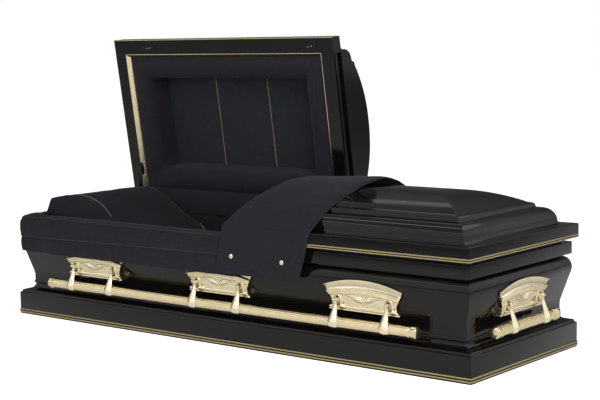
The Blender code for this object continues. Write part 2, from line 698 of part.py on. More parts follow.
def build_lining():
    outer, inner = 0.0525, 0.0605
    low, lip, high = 0.1300, 0.3500, 0.3710
    section = [(outer, low), (inner, low), (inner, lip), (inner, high), (outer, high), (outer, lip)]
    add_object("lining", frame_mesh("lining", section), CLOTH)
    rows = []
    near_x, corner_x = EXTENDOVER_TURN_X
    for front_inset, corner_inset, z in EXTENDOVER_SECTION:
        front_y = -(BASE_HALF_Y - front_inset)
        corner_y = -(BASE_HALF_Y - corner_inset)
        head_x = -(BASE_HALF_X - corner_inset)
        flare_x = -(BASE_HALF_X - front_inset)
        rows.append([(EXTENDOVER_FOOT_X, front_y, z), (near_x, front_y, z), (corner_x, corner_y, z),
                     (head_x, corner_y, z), (flare_x, EXTENDOVER_TURN_Y, z), (flare_x, BACK_CLEAR_Y, z)])
    add_object("extendover", loft("extendover", rows, close_rows=True), CLOTH, smooth_angle=radians(60))


def incline_point(along, below):
    """A point under the pillow's top: along the slope from its head edge, and down into it."""
    x = PILLOW_TOP_HEAD[0] + along * cos(PILLOW_TILT) - below * sin(PILLOW_TILT)
    z = PILLOW_TOP_HEAD[1] - along * sin(PILLOW_TILT) - below * cos(PILLOW_TILT)
    return x, z


def pillow_cage():
    """Coarse cage of the pillow: thin at its four sides and crowned on top."""
    ring = 0.86
    thin = 0.55
    bm = bmesh.new()
    bmesh.ops.create_cube(bm, size=2.0)
    for axis, places in (((1.0, 0.0, 0.0), (-ring, 0.0, ring)), ((0.0, 1.0, 0.0), (-ring, ring))):
        for place in places:
            geometry = bm.verts[:] + bm.edges[:] + bm.faces[:]
            bmesh.ops.bisect_plane(bm, geom=geometry, plane_co=[value * place for value in axis], plane_no=axis)
    for vert in bm.verts:
        crown = 1.0 - vert.co.x ** 2
        at_side = max(abs(vert.co.x), abs(vert.co.y)) > ring + 0.01
        lift = PILLOW_CROWN * crown if vert.co.z > 0.0 else 0.0
        vert.co.x *= PILLOW_LENGTH / 2
        vert.co.y *= PILLOW_HALF_WIDTH
        vert.co.z = vert.co.z * PILLOW_THICKNESS / 2 * (thin if at_side else 1.0) + lift
    return mesh_from_bmesh("pillow", bm)


def build_bed():
    under = PILLOW_THICKNESS + 0.0040
    head_top = incline_point(0.0200, under)
    head_low = incline_point(0.0650, under + 0.0900)
    fold_drop = (head_top[1] - BED_TOP) / sin(PILLOW_TILT)
    fold_x = head_top[0] + fold_drop * cos(PILLOW_TILT)
    outline = [(BED_FOOT_X, BED_BOTTOM), (BED_FOOT_X, BED_TOP), (fold_x, BED_TOP), head_top, head_low,
               (-0.5200, BED_BOTTOM)]
    mattress = flat_outline_mesh("mattress", outline, -BED_HALF_WIDTH, BED_HALF_WIDTH, "Y")
    add_object("mattress", mattress, CLOTH)

    pillow = add_object("pillow", pillow_cage(), CLOTH, smooth_angle=radians(180))
    centre_x, centre_z = incline_point(PILLOW_LENGTH / 2, PILLOW_THICKNESS / 2)
    pillow.location = (centre_x, 0.0, centre_z)
    pillow.rotation_euler = (0.0, PILLOW_TILT, 0.0)
    soft = pillow.modifiers.new("soft_form", "SUBSURF")
    soft.levels = 1
    soft.render_levels = 1


def ear_row(place):
    """Half width, corner height and arch rise of an ear at a place from its top to its foot."""
    return [between([(row[0], row[column]) for row in EAR_OUTLINE], place) for column in (1, 2, 3)]


def leaf_relief(across, place):
    """Raised leaf scrolls on both halves of an ear's field."""
    side = abs(across)
    bend = 0.65 + 0.10 * cos(side * pi * 1.3)
    ridge = max(0.0, 1.0 - abs(place - bend) / 0.09)
    fade = min(1.0, side / 0.12) * min(1.0, max(0.0, (0.86 - side) / 0.15))
    return LEAF_HEIGHT * ridge * fade


def ear_mesh():
    """Cast ear in local coordinates: y = 0 at the base's edge and -y outwards."""
    front = []
    back = []
    for place, inset in EAR_FRONT:
        half, corner, rise = ear_row(place)
        front_row = []
        back_row = []
        for column in range(EAR_COLUMNS + 1):
            across = 2.0 * column / EAR_COLUMNS - 1.0
            z = corner + rise * (1.0 - across * across)
            front_row.append((half * across, inset - leaf_relief(across, place), z))
            back_row.append((half * across, between(EAR_BACK, z), z))
        front.append(front_row)
        back.append(back_row)
    bm = bmesh.new()
    bm.from_mesh(loft("ear_face", front, cap_ends=False))
    edge = front[0] + [row[-1] for row in front[1:]] + front[-1][-2::-1] + [row[0] for row in front[-2:0:-1]]
    behind = back[0] + [row[-1] for row in back[1:]] + back[-1][-2::-1] + [row[0] for row in back[-2:0:-1]]
    edge = [bm.verts.new(point) for point in edge]
    behind = [bm.verts.new(point) for point in behind]
    for index in range(len(edge)):
        following = (index + 1) % len(edge)
        bm.faces.new((edge[index], edge[following], behind[following], behind[index]))
    bm.faces.new(behind)
    ear = mesh_from_bmesh("ear", bm)
    cheeks = []
    for side in (-1.0, 1.0):
        for cheek in (-1.0, 1.0):
            x = side * ARM_HALF_SPACING + cheek * 0.0088
            outline = [(0.0230, 0.2110), (0.0230, 0.2280)]
            outline += arc((0.0, PIVOT_Z), (0.0055, 0.0055), 90, 270, 2)
            cheeks.append(("UNION", flat_outline_mesh("cheek", outline, x - 0.0018, x + 0.0018, "X")))
    return combined_mesh("ear", ear, cheeks)


def arm_mesh():
    """Teardrop arm about its pivot axis: a round knob, the drop and an eye on the bar."""
    rows = []
    for z, y, half_width, half_depth in ARM_SECTIONS:
        row = []
        for side in range(ARM_SIDES):
            angle = 2 * pi * (side + 0.5) / ARM_SIDES
            row.append((half_width * cos(angle), y + half_depth * sin(angle), z))
        rows.append(row)
    drop = loft("arm", rows, close_stations=True, cap_rows=True)
    knob = rod_mesh("knob", 0.0062, 0.0130, 6)
    to_bar = Matrix.Translation((0.0, -BAR_OUT, BAR_Z - PIVOT_Z))
    eye = rod_mesh("eye", BAR_RADIUS + 0.0040, 0.0180, BAR_SIDES)
    eye.transform(to_bar)
    hole = rod_mesh("hole", BAR_RADIUS + 0.0005, 0.0800, BAR_SIDES)
    hole.transform(to_bar)
    return combined_mesh("arm", drop, [("UNION", knob), ("UNION", eye), ("DIFFERENCE", hole)])


def tip_mesh():
    """Eight-sided bar tip along +X, from its seat on the bar."""
    profile = [(0.0, TIP_LENGTH), (TIP_RADIUS - 0.0050, TIP_LENGTH - 0.0015), (TIP_RADIUS, TIP_LENGTH - 0.0080),
               (TIP_RADIUS, 0.0050), (TIP_RADIUS - 0.0025, 0.0), (0.0, 0.0)]
    mesh = turned_mesh("tip", profile, TIP_SIDES)
    mesh.transform(Matrix.Rotation(pi / 2, 4, "Y") @ Matrix.Rotation(pi / TIP_SIDES, 4, "Z"))
    return mesh


def build_handle(label, seat, turn, half_length, shift, ear_places, meshes):
    """One handle: its ears on the body, and its arms, bar and tips about the pivot axis."""
    ear, arm, tip = meshes
    side = Matrix.Translation(seat) @ Matrix.Rotation(turn, 4, "Z")
    for number, x in enumerate(ear_places, start=1):
        name = f"{label}_ear_{number}" if len(ear_places) > 1 else f"{label}_ear"
        part = add_object(name, ear, GOLD, smooth_angle=radians(40))
        part.matrix_world = side @ Matrix.Translation((x, 0.0, 0.0))
    pivot = joint_empty(f"{label}_handle_axis", (0.0, 0.0, 0.0))
    pivot.matrix_world = side @ Matrix.Translation((0.0, 0.0, PIVOT_Z))
    arm_places = [x + offset for x in ear_places for offset in (-ARM_HALF_SPACING, ARM_HALF_SPACING)]
    for number, x in enumerate(arm_places, start=1):
        part = add_object(f"{label}_arm_{number}", arm, GOLD, pivot, radians(40))
        part.location = (x, 0.0, 0.0)
    bar_half = half_length - TIP_LENGTH - GAP
    bar_z = BAR_Z - PIVOT_Z
    rod = rod_mesh("bar", BAR_RADIUS, 2 * bar_half, BAR_SIDES)
    bar = add_object(f"{label}_bar", rod, GOLD, pivot, radians(40))
    bar.location = (shift, -BAR_OUT, bar_z)
    for number, direction in ((1, -1.0), (2, 1.0)):
        part = add_object(f"{label}_tip_{number}", tip, GOLD, pivot, radians(30))
        part.location = (shift + direction * (bar_half + GAP), -BAR_OUT, bar_z)
        part.rotation_euler = (0.0, 0.0, pi if direction < 0.0 else 0.0)


def build_handles():
    meshes = (ear_mesh(), arm_mesh(), tip_mesh())
    three = (-EAR_SPACING, 0.0, EAR_SPACING)
    build_handle("front", (0.0, -BASE_HALF_Y, 0.0), 0.0, LONG_BAR_HALF, 0.0, three, meshes)
    build_handle("back", (0.0, BASE_HALF_Y, 0.0), pi, LONG_BAR_HALF, 0.0, three, meshes)
    build_handle("foot", (BASE_HALF_X, 0.0, 0.0), pi / 2, SHORT_BAR_HALF, SHORT_BAR_SHIFT, (0.0,), meshes)
    build_handle("head", (-BASE_HALF_X, 0.0, 0.0), -pi / 2, SHORT_BAR_HALF, -SHORT_BAR_SHIFT, (0.0,), meshes)


def main():
    clear_scene()
    build_base()
    build_body()
    build_head_lid()
    build_foot_lid()
    build_lining()
    build_bed()
    build_handles()


main()
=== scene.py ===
"""Pressed shells, gold hardware, cloth and studio of a half-couch casket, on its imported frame.

Metres, +Z up. The origin is the centre of the underside, +X runs to the foot end and -Y is
the front, where the cloth hangs. Each operator builds one group of pieces.
"""

from math import copysign, cos, exp, hypot, pi, radians, sin

import bmesh
import bpy
from bpy.props import FloatProperty, FloatVectorProperty, IntProperty, PointerProperty
from bpy.types import Operator, Panel, PropertyGroup
from mathutils import Matrix, Vector, noise
from mathutils.bvhtree import BVHTree


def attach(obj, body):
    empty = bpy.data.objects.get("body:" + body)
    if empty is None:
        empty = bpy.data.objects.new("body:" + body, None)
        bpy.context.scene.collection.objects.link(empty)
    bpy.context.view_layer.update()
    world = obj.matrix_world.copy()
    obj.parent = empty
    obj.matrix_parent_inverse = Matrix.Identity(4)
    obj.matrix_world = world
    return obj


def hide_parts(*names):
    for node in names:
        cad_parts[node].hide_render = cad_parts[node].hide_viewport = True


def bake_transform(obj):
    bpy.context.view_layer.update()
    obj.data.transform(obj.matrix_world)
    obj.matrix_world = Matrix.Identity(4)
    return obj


bl_info = {
    "name": "Half-couch casket",
    "version": (1, 0, 0),
    "blender": (4, 5, 0),
    "location": "View3D > Sidebar > Casket",
    "description": "Paint, gold hardware, cloth and studio for a half-couch casket",
    "category": "Object",
}

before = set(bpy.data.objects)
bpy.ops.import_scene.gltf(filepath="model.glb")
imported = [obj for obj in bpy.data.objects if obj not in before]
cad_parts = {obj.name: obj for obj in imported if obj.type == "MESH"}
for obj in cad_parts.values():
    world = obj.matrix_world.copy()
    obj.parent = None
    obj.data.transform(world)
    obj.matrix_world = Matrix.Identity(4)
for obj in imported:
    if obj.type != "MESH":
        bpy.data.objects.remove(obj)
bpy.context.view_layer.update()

# Driving sizes in metres, as the frame has them
BASE_HALF_X = 1.0650
BASE_HALF_Y = 0.3500
FLANGE_HALF_X = 1.0640
FLANGE_HALF_Y = 0.3585
GAP = 0.0003
CORNER_RADIUS = 0.0022
CORNER_STEPS = 3
MERGE_DISTANCE = 0.00001

# Base moulding and body
FLOOR_RING_INSET = 0.2000
BASE_FACE_TOP = 0.0885
BASE_TOP = 0.1180
BASE_BEADS = (0.0085, 0.0180)
BASE_BEAD_RADIUS = 0.0025
WEB_EDGE = 0.0003
WAIST_INSET = 0.0443
BODY_FOOT_INSET = 0.0470
SHOULDER_INSET = 0.0140
SHOULDER_Z = 0.2826
RECESS_INSET = 0.0395
RIM_INSET = 0.0145
RIM_BOTTOM = 0.3315
RIM_TOP = 0.3733

# Lids, in their closed place
FLANGE_BOTTOM = 0.3861
FLANGE_TOP = 0.4325
LEDGE_Z = 0.4355
CROWN_START_INSET = 0.1280
CROWN_START_Z = 0.5140
CROWN_Z = 0.5675
CROWN_POWER = 2.2
BAND_WIDTH = 0.0577
LID_BEADS = (0.3889, 0.3961)
LID_BEAD_RADIUS = 0.0023
SPLIT_X = 0.1013
SPLIT_GAP = 0.0022
HINGE_Y = 0.3380
HINGE_Z = 0.4006
HEAD_LID_OPEN = radians(81.25)
TRIM_BACK_Y = 0.3435

# Inside of the head lid
TRIM_FLARE = 0.0160
TRIM_PROUD = 0.0012
TRIM_TOP = 0.4060
PANEL_INSET = 0.1590
PANEL_BOTTOM = 0.5130
PANEL_PIPING_X = (-0.6240, -0.3460)
ROLL_FACE = ((0.0650, 0.4110), (0.0685, 0.4050), (0.0745, 0.3982), (0.0830, 0.3920), (0.0960, 0.3866),
             (0.1130, 0.3846), (0.1290, 0.3864), (0.1440, 0.3925), (0.1555, 0.4030), (0.1622, 0.4170),
             (0.1655, 0.4370), (0.1670, 0.4650), (0.1680, 0.5118))
ROLL_BACK = ((0.1540, 0.5124), (0.1400, 0.4700), (0.1100, 0.4310), (0.0660, 0.4190))
ROLL_CORNER_RADIUS = 0.0300
CATCH_PLACES = (-0.8570, 0.0000)
CATCH_Y = -0.3270
CATCH_SLANT = radians(-9.0)
CATCH_SIZE = (0.0520, 0.0110, 0.0036)
CATCH_HOOK_X = 0.0195
CATCH_RIVETS_X = (-0.0150, 0.0020)
STAY_SEAT_SIZE = (0.0270, 0.0560, 0.0130)
STAY_PLATE = (-1.0030, 0.1960)
STAY_EYE = (-1.0300, 0.2820)

# Swing-bar handles
EAR_SPACING = 0.6395
ARM_HALF_SPACING = 0.1041
LONG_BAR_HALF = 0.8730
SHORT_BAR_HALF = 0.2070
SHORT_BAR_SHIFT = -0.0150
PIVOT_Z = 0.2195
BAR_OUT = 0.0045
BAR_Z = 0.1440
BAR_RADIUS = 0.0175
CHEEK_SPACING = 0.0088
EYE_HALF_WIDTH = 0.0150
TIP_LENGTH = 0.0360
EAR_OUTLINE = ((0.00, 0.1595, 0.2665, 0.0265), (0.29, 0.1500, 0.2440, 0.0170),
               (0.46, 0.1400, 0.2290, 0.0120), (0.64, 0.1315, 0.2130, 0.0080),
               (0.82, 0.1330, 0.1990, 0.0020), (0.90, 0.1400, 0.1920, 0.0000),
               (1.00, 0.1440, 0.1810, 0.0000))
EAR_FACE = ((0.000, 0.0074), (0.012, 0.0046), (0.035, 0.0036), (0.055, 0.0048), (0.080, 0.0076),
            (0.150, 0.0098), (0.220, 0.0092), (0.262, 0.0064), (0.290, 0.0042), (0.316, 0.0062),
            (0.326, 0.0086), (0.340, 0.0070), (0.356, 0.0064), (0.372, 0.0076), (0.384, 0.0100),
            (0.396, 0.0090), (0.430, 0.0094), (0.452, 0.0130), (0.580, 0.0142), (0.700, 0.0156),
            (0.800, 0.0166), (0.822, 0.0138), (0.836, 0.0122), (0.865, 0.0112), (0.905, 0.0112),
            (0.930, 0.0128), (0.945, 0.0152), (0.960, 0.0156), (0.978, 0.0148), (1.000, 0.0186))
EAR_TREND = ((0.0, 0.0070), (0.30, 0.0080), (0.45, 0.0120), (0.80, 0.0160), (1.0, 0.0150))
EAR_BACK = ((0.1769, 0.0398), (0.2729, 0.0136), (0.3000, 0.0062))
ARM_SECTIONS = ((0.0040, 0.0000, 0.0048, 0.0044), (-0.0200, -0.0015, 0.0076, 0.0054),
                (-0.0520, -0.0125, 0.0150, 0.0080), (-0.0760, -0.0212, 0.0198, 0.0086),
                (-0.0880, -0.0185, 0.0202, 0.0066), (-0.0940, -0.0155, 0.0180, 0.0044))

# Leaves on an ear: the place of the lower and the upper edge against the share out from the centre
LEAF = (((0.0, 0.748), (0.10, 0.742), (0.20, 0.715), (0.34, 0.660), (0.50, 0.570), (0.66, 0.512),
         (0.84, 0.490)),
        ((0.0, 0.610), (0.10, 0.545), (0.24, 0.487), (0.42, 0.466), (0.62, 0.462), (0.84, 0.474)))
SMALL_LEAF = (((0.0, 0.690), (0.14, 0.672), (0.28, 0.628), (0.40, 0.590)),
              ((0.0, 0.640), (0.14, 0.600), (0.28, 0.572), (0.40, 0.576)))
UNDER_LEAF = (((0.06, 0.800), (0.2, 0.790), (0.45, 0.735), (0.62, 0.64), (0.80, 0.56)),
              ((0.06, 0.775), (0.2, 0.750), (0.45, 0.690), (0.62, 0.60), (0.80, 0.545)))

# Cloth over the front and head rim: inset over the ears, inset at the corner, height
EXTENDOVER_SECTION = ((-0.0050, 0.0100, 0.2577), (-0.0058, 0.0082, 0.2800), (-0.0050, 0.0078, 0.3000),
                      (-0.0024, 0.0074, 0.3200), (-0.0014, 0.0064, 0.3400), (-0.0006, 0.0060, 0.3600),
                      (0.0018, 0.0068, 0.3780), (0.0062, 0.0092, 0.3890), (0.0140, 0.0145, 0.3962),
                      (0.0240, 0.0240, 0.3998), (0.0400, 0.0400, 0.4008), (0.0580, 0.0580, 0.3965),
                      (0.0680, 0.0680, 0.3850), (0.0695, 0.0695, 0.3460))
EXTENDOVER_STITCHES = ((0.3280, 0.3140), (0.3966, 0.3966))
EXTENDOVER_FOOT_X = 0.0930
EXTENDOVER_TURN_X = (-0.8400, -0.9500)
EXTENDOVER_CORNER = 0.0130
EXTENDOVER_FLARE_Y = -0.3000
EXTENDOVER_TURN_Y = -0.2200
EXTENDOVER_BACK_Y = 0.2850
STITCH_PITCH = 0.0060
STITCH_EDGE = (0.0007, 0.0016)
LINING_Z = (0.1300, 0.3705)
LINING_INSET = 0.0575
BACK_CLOTH_LINE = ((0.2888, 0.3640), (0.2890, 0.3800), (0.2905, 0.4000), (0.2945, 0.4200), (0.3020, 0.4400),
                   (0.3135, 0.4610))
BACK_CLOTH_X = (-0.9850, 0.0400)

# Bed and pillow
BED_HALF_WIDTH = 0.2780
BED_FOOT_X = 0.9950
BED_TOP = 0.1200
BED_BOTTOM = 0.0045
BED_RISE_X = -0.5200
BED_RISE = 0.4000
QUILT_PITCH = 0.1600
PILLOW_TILT = radians(28.0)
PILLOW_TOP_HEAD = (-0.9560, 0.4780)
PILLOW_LENGTH = 0.4900
PILLOW_HALF_WIDTH = 0.2780
PILLOW_THICKNESS = 0.1000
PILLOW_CROWN = 0.0300
PILLOW_VOXEL = 0.0060
PILLOW_SWELL_CAP = 0.0120
SWELL_FRAMES = 20
PILLOW_NEAR_PIPING = ((-0.9400, -0.1960), (-0.8753, -0.1729), (-0.8481, -0.1570), (-0.8131, -0.1492),
                      (-0.7792, -0.1493), (-0.7148, -0.1650))
PILLOW_FAR_PIPING = ((-0.7250, 0.2700), (-0.6900, 0.2650), (-0.6500, 0.2550), (-0.6150, 0.2430),
                     (-0.5839, 0.2270), (-0.5600, 0.2110))
# Black tube along the pillow's far edge: a painted shadow line where the pillow meets the lining
PILLOW_SHADOW_LINE = ((-0.8600, 0.2640), (-0.8000, 0.2660), (-0.6800, 0.2660), (-0.5500, 0.2640))

# Throw over the foot lid: its left and right edge at the hem (-1), the flange (0), the crown (1)
THROW_THICKNESS = 0.0070
THROW_HEM = (-0.3640, 0.2655)
THROW_BACK_Y = 0.3300
THROW_LEFT = ((-1.0, 0.0138), (0.0, 0.0500), (1.0, 0.1040))
THROW_RIGHT = ((-1.0, 0.3900), (0.0, 0.4380), (1.0, 0.4480))
THROW_CROWN_RUN = 0.2080
THROW_LIFT = ((-0.3720, 0.0000), (-0.1200, 0.0000), (0.0000, 0.0130), (0.0700, 0.0230), (0.1500, 0.0220),
              (0.3300, 0.0000))
THROW_LEFT_LIFT_SHARE = 0.3000
BUTTON_PLACES = ((0.0918, 0.3300), (0.3209, 0.3270))
BUTTON_RADIUS = 0.0090
HEM_CORNER_RADIUS = 0.0200

# Studio: each lamp's name, place, target, size, power and whether gloss mirrors it
LAMPS = (("key", (1.5, -2.6, 3.2), (0.0, 0.0, 0.3), (3.0, 1.2), 45.0, True),
         ("overhead", (0.0, -0.6, 3.4), (0.0, 0.0, 0.3), (3.6, 0.35), 12.0, True),
         ("fill", (4.0, -3.0, 1.6), (-0.5, 0.4, 0.7), (2.0, 1.5), 110.0, False))
FLOOR_HALF = 30.0
FLOOR_DROP = 0.0005

# World: brightness against the sine of the height above the horizon, for dull surfaces and for gloss on
# the dim and the lit side of the room; SKY_TURN is where x - y goes from the dim side to the lit one
SKY_ON_DULL = ((0.0, 1.0), (0.17, 1.0), (0.26, 0.60), (0.375, 0.30), (0.70, 0.20), (1.0, 0.14))
SKY_DIM_SIDE = ((0.0, 0.12), (0.20, 0.09), (0.34, 0.08), (0.50, 0.20), (0.585, 0.26), (0.60, 0.80),
                (0.65, 0.80), (0.665, 0.28), (1.0, 0.15))
SKY_LIT_SIDE = ((0.0, 0.60), (0.10, 0.90), (0.40, 1.10), (0.585, 0.80), (0.60, 2.0), (0.65, 2.0),
                (0.665, 0.60), (1.0, 0.20))
SKY_TURN = (-1.0, -0.25)

# Camera: where it stands, and its turn, for the long view from the foot end's front corner
CAMERA_PLACE = (3.3991, -4.1123, 1.0845)
CAMERA_YAW = radians(38.73)
CAMERA_PITCH = radians(6.92)
CAMERA_ROLL = radians(-0.87)
CAMERA_LENS = 86.18
CAMERA_SHIFT = (0.00328, 0.02195)

HEAD_LID_PLACE = (Matrix.Translation((0.0, HINGE_Y, HINGE_Z)) @ Matrix.Rotation(-HEAD_LID_OPEN, 4, "X")
                  @ Matrix.Translation((0.0, -HINGE_Y, -HINGE_Z)))
HANDLES = (("front", (0.0, -BASE_HALF_Y, 0.0), 0.0, LONG_BAR_HALF, 0.0, (-EAR_SPACING, 0.0, EAR_SPACING)),
           ("back", (0.0, BASE_HALF_Y, 0.0), pi, LONG_BAR_HALF, 0.0, (-EAR_SPACING, 0.0, EAR_SPACING)),
           ("foot", (BASE_HALF_X, 0.0, 0.0), pi / 2, SHORT_BAR_HALF, SHORT_BAR_SHIFT, (0.0,)),
           ("head", (-BASE_HALF_X, 0.0, 0.0), -pi / 2, SHORT_BAR_HALF, -SHORT_BAR_SHIFT, (0.0,)))


# ---- lines and tables


def arc(centre, radii, start, end, steps):
    """Points on an elliptic arc; the angles are in degrees and both ends are kept."""
    points = []
    for step in range(steps + 1):
        angle = radians(start + (end - start) * step / steps)
        points.append((centre[0] + radii[0] * cos(angle), centre[1] + radii[1] * sin(angle)))
    return points


def offset_line(points, distance):
    """Offset an open outline to its right-hand side with mitred corners."""
    result = []
    last = len(points) - 1
    for index, point in enumerate(points):
        normals = []
        for first, second in ((index - 1, index), (index, index + 1)):
            if first < 0 or second > last:
                continue
            du = points[second][0] - points[first][0]
            dv = points[second][1] - points[first][1]
            length = hypot(du, dv)
            normals.append((dv / length, -du / length))
        nu = sum(normal[0] for normal in normals)
        nv = sum(normal[1] for normal in normals)
        scale = distance * len(normals) / (nu * nu + nv * nv)
        result.append((point[0] + nu * scale, point[1] + nv * scale))
    return result


def between(table, value):
    """Straight-line lookup in a short table of (key, value) pairs."""
    for (low, first), (high, second) in zip(table, table[1:]):
        if value <= high:
            share = (value - low) / (high - low)
            return first + (second - first) * share
    return table[-1][1]


def eased(table, value):
    """Smooth lookup in a table of (key, value) pairs, by cubic pieces that share their slopes."""
    value = min(max(value, table[0][0]), table[-1][0])
    index = 0
    while index < len(table) - 2 and value > table[index + 1][0]:
        index += 1
    (x0, y0), (x1, y1) = table[index], table[index + 1]
    width = x1 - x0
    before = table[max(index - 1, 0)]
    after = table[min(index + 2, len(table) - 1)]
    slope0 = (y1 - before[1]) / (x1 - before[0]) * width
    slope1 = (after[1] - y0) / (after[0] - x0) * width
    t = (value - x0) / width
    return ((2 * t ** 3 - 3 * t ** 2 + 1) * y0 + (t ** 3 - 2 * t ** 2 + t) * slope0
            + (3 * t ** 2 - 2 * t ** 3) * y1 + (t ** 3 - t ** 2) * slope1)


def column(table, number):
    return [(row[0], row[number]) for row in table]


def step_up(low, high, value):
    """0 below low, 1 above high and smooth between them."""
    share = min(max((value - low) / (high - low), 0.0), 1.0)
    return share * share * (3.0 - 2.0 * share)


def dense(points, step):
    """The same line with a point at least every step."""
    result = [points[0]]
    for start, end in zip(points, points[1:]):
        count = max(1, round((Vector(end) - Vector(start)).length / step))
        for index in range(1, count + 1):
            result.append(tuple(Vector(start).lerp(Vector(end), index / count)))
    return result


def smooth_line(points, steps):
    """A smooth line through all points."""
    keys = [0.0]
    for start, end in zip(points, points[1:]):
        keys.append(keys[-1] + (Vector(end) - Vector(start)).length)
    tables = [[(key, point[axis]) for key, point in zip(keys, points)] for axis in range(len(points[0]))]
    return [tuple(eased(table, keys[-1] * index / steps) for table in tables) for index in range(steps + 1)]


def run_length(points):
    return sum((Vector(end) - Vector(start)).length for start, end in zip(points, points[1:]))


def place_on(points, share):
    """The point at a share of a line's length."""
    target = run_length(points) * min(max(share, 0.0), 1.0)
    for start, end in zip(points, points[1:]):
        length = (Vector(end) - Vector(start)).length
        if target <= length:
            return Vector(start).lerp(Vector(end), target / length if length else 0.0)
        target -= length
    return Vector(points[-1])


# ---- meshes


def ring_start(half_x, half_y, inset, z):
    """A rectangle with small round corners as one face: the first ring round the casket."""
    bm = bmesh.new()
    bmesh.ops.create_grid(bm, x_segments=1, y_segments=1, size=1.0)
    place = Matrix.Translation((0.0, 0.0, z)) @ Matrix.Diagonal((half_x - inset, half_y - inset, 1.0, 1.0))
    bmesh.ops.transform(bm, matrix=place, verts=bm.verts[:])
    bevelled(bm, bm.verts[:], CORNER_RADIUS, CORNER_STEPS, "VERTICES")
    return bm


def verts_in(items):
    return [item for item in items if isinstance(item, bmesh.types.BMVert)]


def extruded(bm, edges):
    """Extrude edges where they are, and give the new verts and the new edges between them."""
    made = bmesh.ops.extrude_edge_only(bm, edges=edges)["geom"]
    verts = verts_in(made)
    ring = set(verts)
    return verts, [item for item in made
                   if isinstance(item, bmesh.types.BMEdge) and ring.issuperset(item.verts)]


def moved(bm, vec):
    bmesh.ops.translate(bm, verts=bm.verts[:], vec=vec)
    return bm


def bevelled(bm, geom, offset, segments, affect="EDGES"):
    bmesh.ops.bevel(bm, geom=geom, offset=offset, affect=affect, segments=segments, profile=0.5, material=-1)


def merged(bm):
    bmesh.ops.remove_doubles(bm, verts=bm.verts[:], dist=MERGE_DISTANCE)


def rounded_block(size, radius, segments):
    """A block with round upright edges."""
    bm = bmesh.new()
    bmesh.ops.create_cube(bm, size=1.0)
    bmesh.ops.transform(bm, matrix=Matrix.Diagonal((*size, 1.0)), verts=bm.verts[:])
    uprights = [edge for edge in bm.edges if abs(edge.verts[0].co.z - edge.verts[1].co.z) > 0.001]
    bevelled(bm, uprights, radius, segments)
    return bm


def carry_ring(bm, edges, step_in, rise):
    """Extrude a ring of edges to its next place: in on all four sides, and up."""
    verts, edges = extruded(bm, edges)
    for vert in verts:
        vert.co.x = copysign(max(abs(vert.co.x) - step_in, 0.0), vert.co.x)
        vert.co.y = copysign(max(abs(vert.co.y) - step_in, 0.0), vert.co.y)
        vert.co.z += rise
    return edges


def swept_frame(profile, half_x, half_y, closed=False, floors=False):
    """Carry a profile of (inset, z) round a rectangle, ring by ring."""
    bm = ring_start(half_x, half_y, *profile[0])
    first = bm.edges[:]
    if not floors:
        bmesh.ops.delete(bm, geom=bm.faces[:], context="FACES_ONLY")
    edges = first
    for (inset, z), (next_inset, next_z) in zip(profile, profile[1:]):
        edges = carry_ring(bm, edges, next_inset - inset, next_z - z)
    if closed:
        bmesh.ops.bridge_loops(bm, edges=first + edges)
    if floors:
        bmesh.ops.contextual_create(bm, geom=edges)
    merged(bm)
    return bm


def cut_side(bm, axis, place, keep_above, fill=True):
    """Cut a mesh by an upright plane, drop one side and close the cut."""
    normal = Vector((0.0, 0.0, 0.0))
    normal[axis] = 1.0
    whole = bm.verts[:] + bm.edges[:] + bm.faces[:]
    cut = bmesh.ops.bisect_plane(bm, geom=whole, plane_co=normal * place, plane_no=normal,
                                 clear_inner=keep_above, clear_outer=not keep_above)["geom_cut"]
    edges = [item for item in cut if isinstance(item, bmesh.types.BMEdge)]
    if fill:
        bmesh.ops.holes_fill(bm, edges=edges)
    return [edge for edge in edges if edge.is_valid]


def turned(profile, steps, axis="Z"):
    """Turn a profile of (radius, height) about an axis; its ends on the axis are merged."""
    bm = bmesh.new()
    verts = [bm.verts.new((radius, 0.0, height)) for radius, height in profile]
    edges = [bm.edges.new(pair) for pair in zip(verts, verts[1:])]
    bmesh.ops.spin(bm, geom=verts + edges, cent=(0.0, 0.0, 0.0), axis=(0.0, 0.0, 1.0), angle=2 * pi,
                   steps=steps, use_merge=True)
    merged(bm)
    if axis == "X":
        bmesh.ops.rotate(bm, verts=bm.verts[:], matrix=Matrix.Rotation(pi / 2, 3, "Y"))
    if axis == "-Y":
        bmesh.ops.rotate(bm, verts=bm.verts[:], matrix=Matrix.Rotation(pi / 2, 3, "X"))
    return bm


def cloth_grid(columns, rows, place, width, length):
    """A grid laid by a function of two shares, with its UV map in metres along the cloth."""
    bm = bmesh.new()
    layer = bm.loops.layers.uv.new("cloth")
    bmesh.ops.create_grid(bm, x_segments=columns, y_segments=rows, size=0.5, calc_uvs=True)
    for face in bm.faces:
        for loop in face.loops:
            loop[layer].uv.x *= width
            loop[layer].uv.y *= length
    for vert in bm.verts:
        vert.co = place(vert.co.x + 0.5, vert.co.y + 0.5)
    return bm


def tube_along(points, radius, sides):
    """A round tube along a line of points, with closed ends."""
    bm = bmesh.new()
    points = [Vector(point) for point in points]
    circle = bmesh.ops.create_circle(bm, cap_ends=True, radius=radius, segments=sides)["verts"]
    edges = bm.edges[:]
    heading = (points[1] - points[0]).normalized()
    turn = heading.to_track_quat("Z", "Y").to_matrix()
    bmesh.ops.rotate(bm, verts=circle, matrix=turn)
    bmesh.ops.translate(bm, verts=circle, vec=points[0])
    for index in range(1, len(points)):
        verts, edges = extruded(bm, edges)
        ahead = points[min(index + 1, len(points) - 1)] - points[index - 1]
        swing = heading.rotation_difference(ahead.normalized()).to_matrix()
        bmesh.ops.rotate(bm, verts=verts, cent=points[index - 1], matrix=swing)
        bmesh.ops.translate(bm, verts=verts, vec=points[index] - points[index - 1])
        heading = ahead.normalized()
    bmesh.ops.contextual_create(bm, geom=edges)
    return bm


